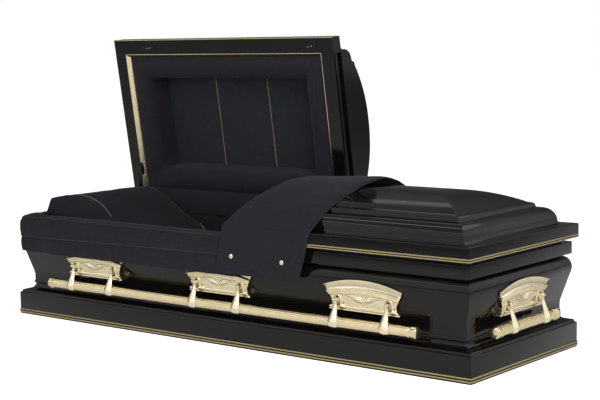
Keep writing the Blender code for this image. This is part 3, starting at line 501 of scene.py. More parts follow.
def in_second_finish(bm):
    """Give a whole part the piece's second material."""
    for face in bm.faces:
        face.material_index = 1
    return bm


def joined(*parts):
    """One bmesh from several, which are freed."""
    whole = bmesh.new()
    for part in parts:
        mesh = bpy.data.meshes.new("part")
        part.to_mesh(mesh)
        part.free()
        whole.from_mesh(mesh)
        bpy.data.meshes.remove(mesh)
    return whole


def drift(x, y, z):
    """Smooth noise between about -1 and 1."""
    return noise.noise(Vector((x, y, z)))


def new_piece(name, bm, materials, body, replaced=(), sharp=30.0, place=None):
    """Turn a bmesh into a finished piece that rides on a body and stands for its nodes."""
    if place is not None:
        bmesh.ops.transform(bm, matrix=place, verts=bm.verts[:])
    return mesh_piece(name, closed_up(name, bm), materials, body, replaced, sharp)


def closed_up(name, bm):
    """A mesh from a bmesh, with its faces pointing outwards."""
    bmesh.ops.recalc_face_normals(bm, faces=bm.faces[:])
    mesh = bpy.data.meshes.new(name)
    bm.to_mesh(mesh)
    bm.free()
    return mesh


def mesh_piece(name, mesh, materials, body, replaced=(), sharp=30.0):
    mesh.shade_smooth()
    mesh.set_sharp_from_angle(angle=radians(sharp))
    for material in materials if isinstance(materials, (list, tuple)) else [materials]:
        mesh.materials.append(material)
    piece = bpy.data.objects.new(name, mesh)
    bpy.context.scene.collection.objects.link(piece)
    if body:
        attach(piece, body)
    if replaced:
        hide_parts(*replaced)
    return piece


def give_wall(piece, thickness, offset=-1.0, even=False):
    """Sheet thickness by a live Solidify modifier, with crisp cut edges."""
    bm = bmesh.new()
    bm.from_mesh(piece.data)
    for edge in bm.edges:
        edge.smooth = edge.smooth and not edge.is_boundary
    bm.to_mesh(piece.data)
    bm.free()
    wall = piece.modifiers.new("wall", "SOLIDIFY")
    wall.thickness = thickness
    wall.offset = offset
    wall.use_even_offset = even


def evaluated_mesh(piece):
    bpy.context.view_layer.update()
    evaluated = piece.evaluated_get(bpy.context.evaluated_depsgraph_get())
    return bpy.data.meshes.new_from_object(evaluated)


def puffed(bm, voxel, pressure, cap):
    """Swell a closed pad by a short cloth simulation with inside pressure; no point moves past the cap."""
    pad = bpy.data.objects.new("pad", closed_up("pad", bm))
    bpy.context.scene.collection.objects.link(pad)
    remesh = pad.modifiers.new("remesh", "REMESH")
    remesh.mode = "VOXEL"
    remesh.voxel_size = voxel
    pad.data = evaluated_mesh(pad)
    pad.modifiers.clear()
    rest = [vert.co.copy() for vert in pad.data.vertices]
    cloth = pad.modifiers.new("cloth", "CLOTH")
    cloth.settings.use_pressure = True
    cloth.settings.uniform_pressure_force = pressure
    cloth.settings.quality = 4
    cloth.settings.effector_weights.gravity = 0.0
    cloth.point_cache.frame_end = SWELL_FRAMES
    scene = bpy.context.scene
    for frame in range(1, SWELL_FRAMES + 1):
        scene.frame_set(frame)
    moved = evaluated_mesh(pad)
    for vert, start, end in zip(pad.data.vertices, rest, moved.vertices):
        shift = end.co - start
        if shift.length > cap:
            shift *= cap / shift.length
        vert.co = start + shift
    pad.modifiers.clear()
    scene.frame_set(1)
    result = bmesh.new()
    result.from_mesh(pad.data)
    bpy.data.objects.remove(pad)
    bmesh.ops.smooth_vert(result, verts=result.verts[:], factor=0.5, use_axis_x=True, use_axis_y=True,
                          use_axis_z=True)
    return result


# ---- materials


class Finish:
    """A Principled material under construction, with short ways to add its varying parts."""

    def __init__(self, name, color, roughness, metallic=0.0):
        self.material = bpy.data.materials.new(name)
        self.material.use_nodes = True
        self.tree = self.material.node_tree
        self.shader = self.tree.nodes["Principled BSDF"]
        self.shader.inputs["Base Color"].default_value = (*color, 1.0)
        self.shader.inputs["Roughness"].default_value = roughness
        self.shader.inputs["Metallic"].default_value = metallic
        self.material.diffuse_color = (*color, 1.0)
        self.coords = self.tree.nodes.new("ShaderNodeTexCoord")
        self.normal = None

    def node(self, kind, links=(), **values):
        node = self.tree.nodes.new(kind)
        for key, value in values.items():
            setattr(node, key, value)
        for socket, source in links:
            if isinstance(source, bpy.types.NodeSocket):
                self.tree.links.new(source, node.inputs[socket])
            else:
                node.inputs[socket].default_value = source
        return node

    def mapped(self, scale, source="Object"):
        links = [("Vector", self.coords.outputs[source]), ("Scale", scale)]
        return self.node("ShaderNodeMapping", links).outputs[0]

    def noise(self, scale, detail=3.0, rough=0.55, vector=None):
        vector = vector or self.coords.outputs["Object"]
        node = self.node("ShaderNodeTexNoise", [("Vector", vector), ("Scale", scale), ("Detail", detail),
                                                ("Roughness", rough)])
        return node.outputs["Fac"]

    def spread(self, source, low, high, start=0.3, end=0.7):
        node = self.node("ShaderNodeMapRange", [("Value", source), ("From Min", start), ("From Max", end),
                                                ("To Min", low), ("To Max", high)])
        return node.outputs["Result"]

    def math(self, operation, first, second):
        return self.node("ShaderNodeMath", [(0, first), (1, second)], operation=operation).outputs[0]

    def mixed(self, factor, first, second):
        node = self.node("ShaderNodeMix", data_type="RGBA")
        self.tree.links.new(factor, node.inputs[0])
        for index, value in ((6, first), (7, second)):
            if isinstance(value, bpy.types.NodeSocket):
                self.tree.links.new(value, node.inputs[index])
            else:
                node.inputs[index].default_value = (*value, 1.0)
        return node.outputs[2]

    def color(self, socket):
        self.tree.links.new(socket, self.shader.inputs["Base Color"])

    def roughness(self, socket):
        self.tree.links.new(socket, self.shader.inputs["Roughness"])

    def bump(self, height, strength, distance):
        links = [("Height", height), ("Strength", strength), ("Distance", distance)]
        if self.normal is not None:
            links.append(("Normal", self.normal))
        self.normal = self.node("ShaderNodeBump", links).outputs["Normal"]
        self.tree.links.new(self.normal, self.shader.inputs["Normal"])

    def set(self, **values):
        for key, value in values.items():
            self.shader.inputs[key.replace("_", " ")].default_value = value


def tint(color, factor):
    return tuple(min(1.0, value * factor) for value in color)


def gloss_paint(colors):
    """Sprayed and polished enamel: faint orange peel, polishing haze and a clear gloss."""
    finish = Finish("gloss_black_paint", tuple(colors.paint), 0.06)
    finish.color(finish.mixed(finish.spread(finish.noise(5.0, 4.0), 0.0, 1.0), tint(colors.paint, 0.85),
                              tint(colors.paint, 1.25)))
    haze = finish.noise(70.0, 5.0, vector=finish.mapped((1.0, 1.0, 4.0)))
    finish.roughness(finish.spread(haze, 0.045, 0.095))
    finish.bump(finish.noise(330.0, 2.0), 0.030, 0.0004)
    finish.bump(finish.noise(9.0, 1.0), 0.015, 0.0030)
    finish.set(IOR=1.36)
    return finish.material


def gold_plate(name, color, bright, pebble=1.0):
    """Plated casting: fine pebble of the mould, soft polish, and painted shade that darkens the hollows."""
    finish = Finish(name, color, 0.2, 1.0)
    cloudy = finish.spread(finish.noise(38.0, 4.0), 0.0, 1.0)
    tone = finish.mixed(cloudy, tint(color, 0.93), tint(color, 1.06))
    hollow_shade = finish.node("ShaderNodeAttribute", attribute_name="hollow_shade").outputs["Fac"]
    # Painted shade: a per-vertex value darkens the gold in the ears' recesses, round the pivots and on their
    # backs.
    finish.color(finish.mixed(hollow_shade, tone, tint(color, 0.42)))
    finish.roughness(finish.spread(finish.noise(150.0, 5.0), bright, bright + 0.04 + 0.10 * pebble))
    finish.bump(finish.noise(650.0, 3.0), 0.06 * pebble, 0.0002)
    finish.bump(finish.noise(90.0, 2.0), 0.03 * pebble, 0.0003)
    return finish.material


def dark_hardware(colors):
    """Blackened steel: a satin coat with rubbed, uneven roughness."""
    finish = Finish("black_hardware", tuple(colors.hardware), 0.35, 0.6)
    finish.color(finish.mixed(finish.spread(finish.noise(60.0, 4.0), 0.0, 1.0), tint(colors.hardware, 0.8),
                              tint(colors.hardware, 1.5)))
    finish.roughness(finish.spread(finish.noise(220.0, 4.0), 0.28, 0.5))
    finish.bump(finish.noise(500.0, 3.0), 0.12, 0.0003)
    return finish.material


def seal_rubber(colors):
    finish = Finish("black_rubber", tuple(colors.rubber), 0.6)
    finish.roughness(finish.spread(finish.noise(180.0, 4.0), 0.45, 0.75))
    finish.color(finish.mixed(finish.noise(25.0, 3.0), tint(colors.rubber, 0.7), tint(colors.rubber, 1.4)))
    finish.bump(finish.noise(420.0, 3.0), 0.15, 0.0003)
    return finish.material


def woven_cloth(name, color, uv, pitch, sheen=0.05, seams_and_shadow_lines=(), run=1.0, thread=(0.2, 0.18, 0.1)):
    """Crepe cloth: a fine weave, slubs, mottling and sheen, with dashed seams and painted shadow lines from
    one height to another.
    """
    finish = Finish(name, color, 0.9)
    source = "UV" if uv else "Object"
    parts = finish.node("ShaderNodeSeparateXYZ", [("Vector", finish.coords.outputs[source])])

    def wave(axis, rate):
        return finish.math("SINE", finish.math("MULTIPLY", parts.outputs[axis], rate), 0.0)

    warp, weft = wave("X", pi / pitch), wave("Y", pi / pitch)
    if uv:
        weave = finish.math("MULTIPLY", warp, weft)
    else:
        weave = finish.math("ADD", finish.math("ADD", warp, weft), wave("Z", pi / pitch))
    slubs = finish.noise(420.0, 2.0, vector=finish.mapped((1.0, 0.25, 1.0), source))
    grain = finish.noise(190.0, 4.0, 0.7)
    mottle = finish.noise(14.0, 3.0)
    fleck = finish.spread(grain, 0.0, 1.0, 0.32, 0.68)
    tone = finish.mixed(fleck, tint(color, 0.60), tint(color, 1.45))
    tone = finish.mixed(finish.spread(mottle, 0.0, 0.35), tone, tint(color, 0.80))
    # Dashed lines in the thread colour: sewn seams, and on the back cloth a painted shadow line.
    for first, last in seams_and_shadow_lines:
        line = finish.spread(parts.outputs["X"], first, last, 0.0, run)
        away = finish.math("ABSOLUTE", finish.math("SUBTRACT", parts.outputs["Y"], line), 0.0)
        on_line = finish.spread(away, 1.0, 0.0, *STITCH_EDGE)
        broken = finish.spread(wave("X", 2 * pi / STITCH_PITCH), 0.0, 1.0, -0.5, 0.1)
        tone = finish.mixed(finish.math("MULTIPLY", on_line, broken), tone, thread)
    finish.color(tone)
    finish.roughness(finish.spread(grain, 0.82, 0.97))
    finish.bump(weave, 0.25, 0.0003)
    finish.bump(slubs, 0.20, 0.0005)
    finish.bump(grain, 0.25, 0.0009)
    finish.set(Sheen_Weight=sheen, Sheen_Roughness=0.45, Sheen_Tint=(0.80, 0.80, 0.92, 1.0),
               Specular_IOR_Level=0.15)
    return finish.material


def floor_finish(colors):
    """White paper floor with a painted glow, strong to the eye and weak to other rays; in gloss its colour
    and glow are painted darker away from the casket.
    """
    finish = Finish("studio_floor", tuple(colors.floor), 0.9)
    finish.roughness(finish.spread(finish.noise(12.0, 3.0), 0.85, 0.95))
    rays = finish.node("ShaderNodeLightPath").outputs
    away = finish.node("ShaderNodeVectorMath", [(0, finish.coords.outputs["Object"])], operation="LENGTH")
    # Painted reflection: in gloss the floor darkens with distance from the casket.
    falling = finish.spread(away.outputs["Value"], 0.18, 0.65, 1.4, 12.0)
    lit = finish.math("SUBTRACT", 1.0, finish.math("MULTIPLY", rays["Is Glossy Ray"], falling))
    finish.color(finish.mixed(lit, (0.0, 0.0, 0.0), tuple(colors.floor)))
    glow = finish.math("MULTIPLY", lit, finish.spread(rays["Is Camera Ray"], 0.35, 0.85, 0.0, 1.0))
    finish.tree.links.new(glow, finish.shader.inputs["Emission Strength"])
    finish.set(Emission_Color=(1.0, 1.0, 1.0, 1.0), Specular_IOR_Level=0.0)
    return finish.material


MATERIALS = {}


# ---- profiles


def base_profile():
    """Outer face of the base moulding as (inset, z), from its floor to the neck."""
    line = [(FLOOR_RING_INSET, 0.0), (0.0012, 0.0), (0.0003, 0.0004), (0.0, 0.0014)]
    line += arc((0.0025, BASE_FACE_TOP - 0.0025), (-0.0025, 0.0025), 0, 90, 6)
    line += [(0.0048, 0.0888), (0.0055, 0.0895)]
    line += arc((0.0125, 0.0925), (-0.0060, 0.0060), -10, 90, 10)
    line += [(0.0180, 0.0998), (0.0235, 0.1012), (0.0250, 0.1020)]
    line += arc((0.0250, 0.1180), (0.0190, 0.0160), -85, -15, 10)
    line += [(0.0452, BASE_TOP)]
    return line


def body_profile():
    """Outer face of the body as (inset, z), from the floor plate to the rim's inner lip."""
    line = [(FLOOR_RING_INSET, 0.0018), (BODY_FOOT_INSET, 0.0018), (BODY_FOOT_INSET, 0.1205)]
    line += arc((0.0462, 0.1290), (0.0043, 0.0080), 250, 110, 10)
    line += [(WAIST_INSET, 0.1420), (WAIST_INSET, 0.1590), (0.0436, 0.1650), (0.0424, 0.1710),
             (0.0408, 0.1769), (0.0210, 0.2516)]
    line += arc((RECESS_INSET, SHOULDER_Z), (SHOULDER_INSET - RECESS_INSET, 0.0400), -14, 90, 20)
    line += [(RECESS_INSET, 0.3290), (RECESS_INSET - 0.0010, RIM_BOTTOM - 0.0015),
             (RIM_INSET + 0.0020, RIM_BOTTOM - 0.0015)]
    line += arc((RIM_INSET + 0.0020, RIM_BOTTOM + 0.0005), (-0.0020, 0.0020), -60, 0, 4)
    line += arc((RIM_INSET + 0.0025, RIM_TOP - 0.0025), (-0.0025, 0.0025), 0, 90, 5)
    line += [(0.0500, RIM_TOP), (0.0500, 0.3600)]
    return line


def dome_profile():
    """Outer face of a lid as (inset, z), from the inner edge of its band up to the ridge."""
    line = [(0.0, FLANGE_BOTTOM + 0.0008), (0.0008, FLANGE_BOTTOM), (BAND_WIDTH, FLANGE_BOTTOM)][::-1]
    line += arc((0.0025, FLANGE_TOP), (-0.0025, 0.0025), 0, 80, 5)
    line += [(0.0300, LEDGE_Z)]
    line += arc((0.0440, 0.4460), (0.0090, 0.0100), -86, -8, 8)
    line += arc((0.0980, 0.4470), (-0.0440, 0.0480), 4, 83, 18)
    line += [(0.0980, 0.4955), (0.1065, 0.4966), (0.1078, 0.4975)]
    line += arc((0.1225, 0.5020), (-0.0130, 0.0108), 5, 84, 12)
    steps = 26
    for step in range(steps + 1):
        share = 1.0 - step / steps
        inset = FLANGE_HALF_Y + (CROWN_START_INSET - FLANGE_HALF_Y) * share
        line.append((inset, CROWN_Z - (CROWN_Z - CROWN_START_Z) * share ** CROWN_POWER))
    return line


def bead_section(heights, radius, stand):
    """Trim with two half-round beads; it stands off its face by the gap."""
    web = -0.0011
    low_z, high_z = heights
    margin = radius + 0.0004
    section = [(-GAP, low_z - margin), (-GAP, high_z + margin)]
    section += arc((web, high_z), (-stand, radius), 90, -90, 10)
    section += arc((web, low_z), (-stand, radius), 90, -90, 10)
    return section


def beaded_trim(heights, radius, stand, half_x, half_y):
    """Two gold beads round a rectangle; the strip between them takes the second material."""
    bm = swept_frame(bead_section(heights, radius, stand), half_x, half_y, closed=True)
    low, high = heights[0] + radius - WEB_EDGE, heights[1] - radius + WEB_EDGE
    for face in bm.faces:
        if low < face.calc_center_median().z < high:
            face.material_index = 1
    return bm


def pan(profile, sheet):
    """A closed sheet-metal pan: the outer face, the inner face and both floors."""
    inner = offset_line(profile, sheet)
    return swept_frame(profile + inner[::-1], BASE_HALF_X, BASE_HALF_Y, floors=True)


# ---- sizes and colours that a user may change


class CasketSizes(PropertyGroup):
    sheet: FloatProperty(name="Sheet metal", description="Thickness of the pressed steel",
                         default=0.0015, min=0.0008, max=0.003, unit="LENGTH")
    bead_stand: FloatProperty(name="Bead height", description="How far the gold beads stand out",
                              default=0.0019, min=0.001, max=0.003, unit="LENGTH")
    reeds: IntProperty(name="Reeds", description="Number of reeds round each bar", default=12, min=8, max=32)
    reed_depth: FloatProperty(name="Reed depth", description="Depth of the grooves between the reeds",
                              default=0.0011, min=0.0, max=0.002, unit="LENGTH")
    leaf_height: FloatProperty(name="Leaf height", description="How far the carved leaves stand out",
                               default=0.0048, min=0.001, max=0.008, unit="LENGTH")
    weave: FloatProperty(name="Weave pitch", description="Distance from thread to thread",
                         default=0.0011, min=0.0004, max=0.004, unit="LENGTH")
    piping: FloatProperty(name="Piping radius", description="Radius of the sewn piping",
                          default=0.0011, min=0.0004, max=0.003, unit="LENGTH")
    fullness: FloatProperty(name="Pillow fullness", description="Inside pressure of the pillow",
                            default=4.0, min=0.5, max=10.0)


class CasketColors(PropertyGroup):
    paint: FloatVectorProperty(name="Paint", description="Gloss enamel", subtype="COLOR",
                               min=0.0, max=1.0, default=(0.0040, 0.0038, 0.0036))
    gold: FloatVectorProperty(name="Gold", description="Plated ears, arms and buttons", subtype="COLOR",
                              min=0.0, max=1.0, default=(0.92, 0.82, 0.58))
    bar: FloatVectorProperty(name="Bar gold", description="Plated bars, tips and the head lid's lip",
                             subtype="COLOR", min=0.0, max=1.0, default=(0.84, 0.71, 0.44))
    stripe: FloatVectorProperty(name="Stripe", description="Gold beads on the base and lids", subtype="COLOR",
                                min=0.0, max=1.0, default=(0.46, 0.39, 0.19))
    steel: FloatVectorProperty(name="Steel", description="Bright rivets of the catches", subtype="COLOR",
                               min=0.0, max=1.0, default=(0.22, 0.22, 0.22))
    hardware: FloatVectorProperty(name="Hardware", description="Blackened hinges, catches and stay",
                                  subtype="COLOR", min=0.0, max=1.0, default=(0.012, 0.012, 0.013))
    rubber: FloatVectorProperty(name="Seal", description="Rubber between body and lids", subtype="COLOR",
                                min=0.0, max=1.0, default=(0.006, 0.006, 0.0065))
    cloth: FloatVectorProperty(name="Cloth", description="Crepe of the interior and the throw",
                               subtype="COLOR", min=0.0, max=1.0, default=(0.0152, 0.0148, 0.0192))
    panel: FloatVectorProperty(name="Panel cloth", description="Cloth of the head lid's centre panel",
                               subtype="COLOR", min=0.0, max=1.0, default=(0.0190, 0.0222, 0.0260))
    piping: FloatVectorProperty(name="Piping", description="Sewn piping and thread", subtype="COLOR",
                                min=0.0, max=1.0, default=(0.26, 0.235, 0.17))
    floor: FloatVectorProperty(name="Floor", description="Studio floor", subtype="COLOR",
                               min=0.0, max=1.0, default=(0.93, 0.93, 0.93))


# ---- operators


class CASKET_OT_finishes(Operator):
    """Make every material, and give the small nodes that keep their own mesh their finish"""

    bl_idname = "casket.finishes"
    bl_label = "Finishes"

    def execute(self, context):
        colors = context.scene.casket_colors
        sizes = context.scene.casket_sizes
        cloth = tuple(colors.cloth)
        MATERIALS["paint"] = gloss_paint(colors)
        MATERIALS["gold"] = gold_plate("pale_gold_plate", tuple(colors.gold), 0.13)
        MATERIALS["bar"] = gold_plate("bar_gold_plate", tuple(colors.bar), 0.18, 0.05)
        MATERIALS["stripe"] = gold_plate("olive_gold_stripe", tuple(colors.stripe), 0.25)
        MATERIALS["hardware"] = dark_hardware(colors)
        MATERIALS["rubber"] = seal_rubber(colors)
        MATERIALS["cloth"] = woven_cloth("charcoal_crepe", cloth, True, sizes.weave)
        # The pillow's crepe: the same cloth made 0.85 darker, as painted shade.
        MATERIALS["pad_cloth"] = woven_cloth("charcoal_crepe_pads_shaded", tint(cloth, 0.85), False, sizes.weave)
        # Near-black crepe for the painted shadow line along the pillow's far edge
        MATERIALS["shadow_line_cloth"] = woven_cloth("black_shadow_line_cloth", tint(cloth, 0.12), False, sizes.weave, 0.0)
        panel = tuple(colors.panel)
        MATERIALS["panel"] = woven_cloth("blue_grey_panel_cloth", panel, True, sizes.weave, 0.06)
        MATERIALS["piping"] = woven_cloth("piping_cloth", tuple(colors.piping), False, sizes.weave, 0.2)
        MATERIALS["steel"] = gold_plate("bright_steel", tuple(colors.steel), 0.20)
        for name, material in (("head_lid_hinge", "hardware"), ("foot_lid_hinge", "hardware"),
                               ("rim_gasket", "rubber"), ("head_lid_header", "paint")):
            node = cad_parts[name]
            node.data.materials.clear()
            node.data.materials.append(MATERIALS[material])
        return {"FINISHED"}


class CASKET_OT_base(Operator):
    """Build the base moulding with its gold beads, and the body"""

    bl_idname = "casket.base"
    bl_label = "Base and body"

    def execute(self, context):
        sizes = context.scene.casket_sizes
        new_piece("base_moulding_finish", pan(base_profile(), sizes.sheet), MATERIALS["paint"], "base",
                  ("base_moulding",))
        bm = beaded_trim(BASE_BEADS, BASE_BEAD_RADIUS, sizes.bead_stand, BASE_HALF_X, BASE_HALF_Y)
        new_piece("base_trim_finish", bm, [MATERIALS["stripe"], MATERIALS["paint"]], "base", ("base_trim",),
                  sharp=50.0)
        new_piece("body_shell_finish", pan(body_profile(), sizes.sheet), MATERIALS["paint"], "base",
                  ("body_shell",))
        return {"FINISHED"}


class CASKET_OT_lids(Operator):
    """Build both lids' pressed shells and the gold trims on them"""

    bl_idname = "casket.lids"
    bl_label = "Lids"

    def execute(self, context):
        sizes = context.scene.casket_sizes
        self.foot_lid(sizes)
        self.head_lid(sizes)
        for lid, split, keep_above, place in (("head_lid", SPLIT_X, False, HEAD_LID_PLACE),
                                              ("foot_lid", SPLIT_X + SPLIT_GAP, True, None)):
            bm = beaded_trim(LID_BEADS, LID_BEAD_RADIUS, sizes.bead_stand, FLANGE_HALF_X, FLANGE_HALF_Y)
            cut_side(bm, 1, TRIM_BACK_Y, False)
            cut_side(bm, 0, split, keep_above)
            new_piece(f"{lid}_edge_trim_finish", bm, [MATERIALS["stripe"], MATERIALS["paint"]], lid,
                      (f"{lid}_edge_trim",), sharp=50.0, place=place)
        self.inner_trim()
        for number, x in enumerate(CATCH_PLACES, start=1):
            self.catch(number, x)
        self.stay()
        return {"FINISHED"}

    @staticmethod
    def catch(number, x):
        """A slanting cast plate with two bright rivets and a thicker end, under the lid's front band."""
        plate = moved(rounded_block(CATCH_SIZE, 0.0045, 5), (0.0, 0.0, -CATCH_SIZE[2] / 2))
        hook = turned([(0.0, -0.0050), (0.0052, -0.0050), (0.0064, -0.0038), (0.0064, -0.0002),
                       (0.0, -0.0002)], 24)
        parts = [plate, moved(hook, (CATCH_HOOK_X, 0.0, 0.0))]
        for rivet_x in CATCH_RIVETS_X:
            rivet = turned([(0.0, -0.0052), (0.0022, -0.0049), (0.0036, -0.0040), (0.0038, -0.0034),
                            (0.0, -0.0034)], 24)
            parts.append(in_second_finish(moved(rivet, (rivet_x, 0.0, 0.0))))
        place = (HEAD_LID_PLACE @ Matrix.Translation((x, CATCH_Y, FLANGE_BOTTOM - GAP))
                 @ Matrix.Rotation(CATCH_SLANT, 4, "Z"))
        new_piece(f"head_lid_catch_{number}_finish", joined(*parts),
                  [MATERIALS["hardware"], MATERIALS["steel"]], "head_lid", (f"head_lid_catch_{number}",),
                  sharp=40.0, place=place)

    @staticmethod
    def stay():
        """The stay's seat over the gold trim, with a twisted arm that ends in an eye."""
        top = FLANGE_BOTTOM - 0.0016
        seat = rounded_block(STAY_SEAT_SIZE, 0.0130, 8)
        rims = [edge for edge in seat.edges if edge.verts[0].co.z < 0.0 and edge.verts[1].co.z < 0.0]
        bevelled(seat, rims, 0.0022, 3)
        # The face takes the paint; the black sides stand for the shadow and gap round the seat: painted
        # shadow.
        for face in seat.faces:
            face.material_index = 1 if face.normal.z < -0.5 else 0
        moved(seat, (*STAY_PLATE, top - 0.0070))
        line = smooth_line([(-1.0060, 0.2120, top - 0.0150), (-1.0160, 0.2240, top - 0.0120),
                            (-1.0080, 0.2360, top - 0.0100), (-1.0200, 0.2500, top - 0.0080),
                            (-1.0240, 0.2660, top - 0.0060), (*STAY_EYE, top - 0.0060)], 30)
        arm = tube_along(line, 0.0032, 10)
        eye = turned([(0.0045, -0.0052), (0.0095, -0.0052), (0.0108, -0.0040), (0.0108, 0.0040),
                      (0.0095, 0.0052), (0.0045, 0.0052), (0.0045, -0.0052)], 28)
        moved(eye, (*STAY_EYE, top - 0.0061))
        new_piece("head_lid_stay_finish", joined(seat, arm, eye), [MATERIALS["hardware"], MATERIALS["paint"]],
                  "head_lid", ("head_lid_stay",), sharp=40.0, place=HEAD_LID_PLACE)

    @staticmethod
    def foot_lid(sizes):
        """The foot lid's shell, with a flat end and a band under it at the split."""
        bm = swept_frame(dome_profile(), FLANGE_HALF_X, FLANGE_HALF_Y)
        cut = cut_side(bm, 0, SPLIT_X + SPLIT_GAP, True, fill=False)
        ends = [vert for edge in cut for vert in edge.verts
                if len([link for link in vert.link_edges if link in cut]) == 1]
        low = bm.edges.new(sorted(ends, key=lambda vert: vert.co.y))
        bmesh.ops.contextual_create(bm, geom=cut + [low])
        bmesh.ops.translate(bm, verts=extruded(bm, [low])[0], vec=(BAND_WIDTH, 0.0, 0.0))
        piece = new_piece("foot_lid_shell_finish", bm, MATERIALS["paint"], "foot_lid", ("foot_lid_shell",),
                          sharp=26.0)
        give_wall(piece, sizes.sheet, even=True)

    @staticmethod
    def head_lid(sizes):
        """The head lid's shell, open at the split where its header stands."""
        bm = swept_frame(dome_profile(), FLANGE_HALF_X, FLANGE_HALF_Y)
        cut_side(bm, 0, SPLIT_X, False, fill=False)
        piece = new_piece("head_lid_shell_finish", bm, MATERIALS["paint"], "head_lid", ("head_lid_shell",),
                          sharp=26.0, place=HEAD_LID_PLACE)
        give_wall(piece, sizes.sheet, even=True)

    @staticmethod
    def inner_trim():
        """The gold lip round the head lid's opening, flared towards the roll."""
        half_x = (FLANGE_HALF_X + SPLIT_X) / 2
        shift = (SPLIT_X - FLANGE_HALF_X) / 2
        inset = BAND_WIDTH + GAP
        low = FLANGE_BOTTOM - TRIM_PROUD
        section = [(inset, TRIM_TOP), (inset, low + 0.0008)]
        section += arc((inset + 0.0008, low + 0.0008), (0.0008, 0.0008), 180, 270, 4)
        section += arc((inset + 0.0016, low + 0.0010), (0.0010, 0.0010), 270, 330, 4)
        section += [(inset + TRIM_FLARE * 0.5, low + 0.0080), (inset + TRIM_FLARE, low + 0.0185),
                    (inset + TRIM_FLARE - 0.0010, TRIM_TOP)]
        bm = swept_frame(section, half_x, FLANGE_HALF_Y, closed=True)
        place = HEAD_LID_PLACE @ Matrix.Translation((shift, 0.0, 0.0))
        new_piece("head_lid_inner_trim_finish", bm, MATERIALS["bar"], "head_lid", ("head_lid_inner_trim",),
                  sharp=40.0, place=place)


def leaf_rise(side, place, leaf, height):
    """Height of a leaf that lies between its two edges and is thickest halfway."""
    lower, upper = leaf
    if side > lower[-1][0]:
        return 0.0
    low, high = eased(lower, side), eased(upper, side)
    half = (low - high) / 2
    if half <= 0.0005 or not high < place < low:
        return 0.0
    off = (place - (low + high) / 2) / half
    return height * min(1.0, half / 0.03) * (1.0 - off * off) ** 0.75


def ear_relief(x, z, place, leaf_height):
    """Carved leaves, the bud between them and the arched hood over each pivot: height, and painted shade for
    the niche under each hood.
    """
    side = abs(x) / ARM_HALF_SPACING
    height = leaf_rise(side, place, LEAF, leaf_height) + leaf_rise(side, place, SMALL_LEAF, 0.4 * leaf_height)
    bud = 1.0 - (side / 0.075) ** 2 - ((place - 0.655) / 0.105) ** 2
    height = max(height, 1.1 * leaf_height * max(bud, 0.0) ** 0.5,
                 leaf_rise(side, place, UNDER_LEAF, 0.32 * leaf_height))
    dx, dz = abs(abs(x) - ARM_HALF_SPACING), z - PIVOT_Z
    away = hypot(dx, dz) if dz > 0.0 else dx
    foot = step_up(0.192, 0.199, z)
    hood = exp(-((away - 0.0122) / 0.0024) ** 2) * foot
    niche = step_up(0.0108, 0.0080, away) * foot
    height = max(height * step_up(0.0135, 0.0165, away), 0.0040 * hood) - 0.0045 * niche
    return height, 0.85 * niche


def ear_bmesh(leaf_height):
    """Cast ear in local coordinates: y = 0 at the base's edge and -y outwards."""
    bm = bmesh.new()
    hollow_shade_layer = bm.verts.layers.float.new("hollow_shade")
    bmesh.ops.create_grid(bm, x_segments=168, y_segments=132, size=1.0)
    outline = [column(EAR_OUTLINE, number) for number in (1, 2, 3)]
    for vert in bm.verts:
        across, place = vert.co.x, (1.0 - vert.co.y) / 2
        half, corner, rise = (eased(table, place) for table in outline)
        inset, trend = eased(EAR_FACE, place), between(EAR_TREND, place)
        half += 0.35 * (trend - inset)
        x = half * across
        z = corner + rise * (1.0 - across * across)
        height, hollow_shade = ear_relief(x, z, place, leaf_height)
        edge = step_up(0.965, 1.0, abs(across))
        # Painted shade: the niche round each pivot and the face sunk below its trend are darkened.
        vert[hollow_shade_layer] = min(1.0, hollow_shade + 0.45 * step_up(0.0, 0.0022, inset - trend))
        vert.co = (x, inset - height * (1.0 - edge) + 0.0022 * edge * edge, z)
    back, loop = extruded(bm, [edge for edge in bm.edges if edge.is_boundary])
    for vert in back:
        vert.co.y = between(EAR_BACK, vert.co.z)
        # Painted shade on the ear's back, against the base.
        vert[hollow_shade_layer] = 0.6
    bmesh.ops.contextual_create(bm, geom=loop)
    return bm


def cheek_bmesh():
    """One of the two upright cheeks that carry an arm's pivot."""
    bm = bmesh.new()
    outline = [(0.0225, 0.2110), (0.0225, 0.2280), (0.0120, 0.2262)]
    outline += arc((0.0, PIVOT_Z), (0.0055, 0.0055), 90, 270, 10)
    face = bm.faces.new([bm.verts.new((-0.0018, y, z)) for y, z in outline])
    made = bmesh.ops.extrude_face_region(bm, geom=[face])["geom"]
    bmesh.ops.translate(bm, verts=verts_in(made), vec=(0.0036, 0.0, 0.0))
    rims = [edge for edge in bm.edges if abs(edge.verts[0].co.x - edge.verts[1].co.x) < 0.0001]
    bevelled(bm, rims, 0.0006, 2)
    return bm


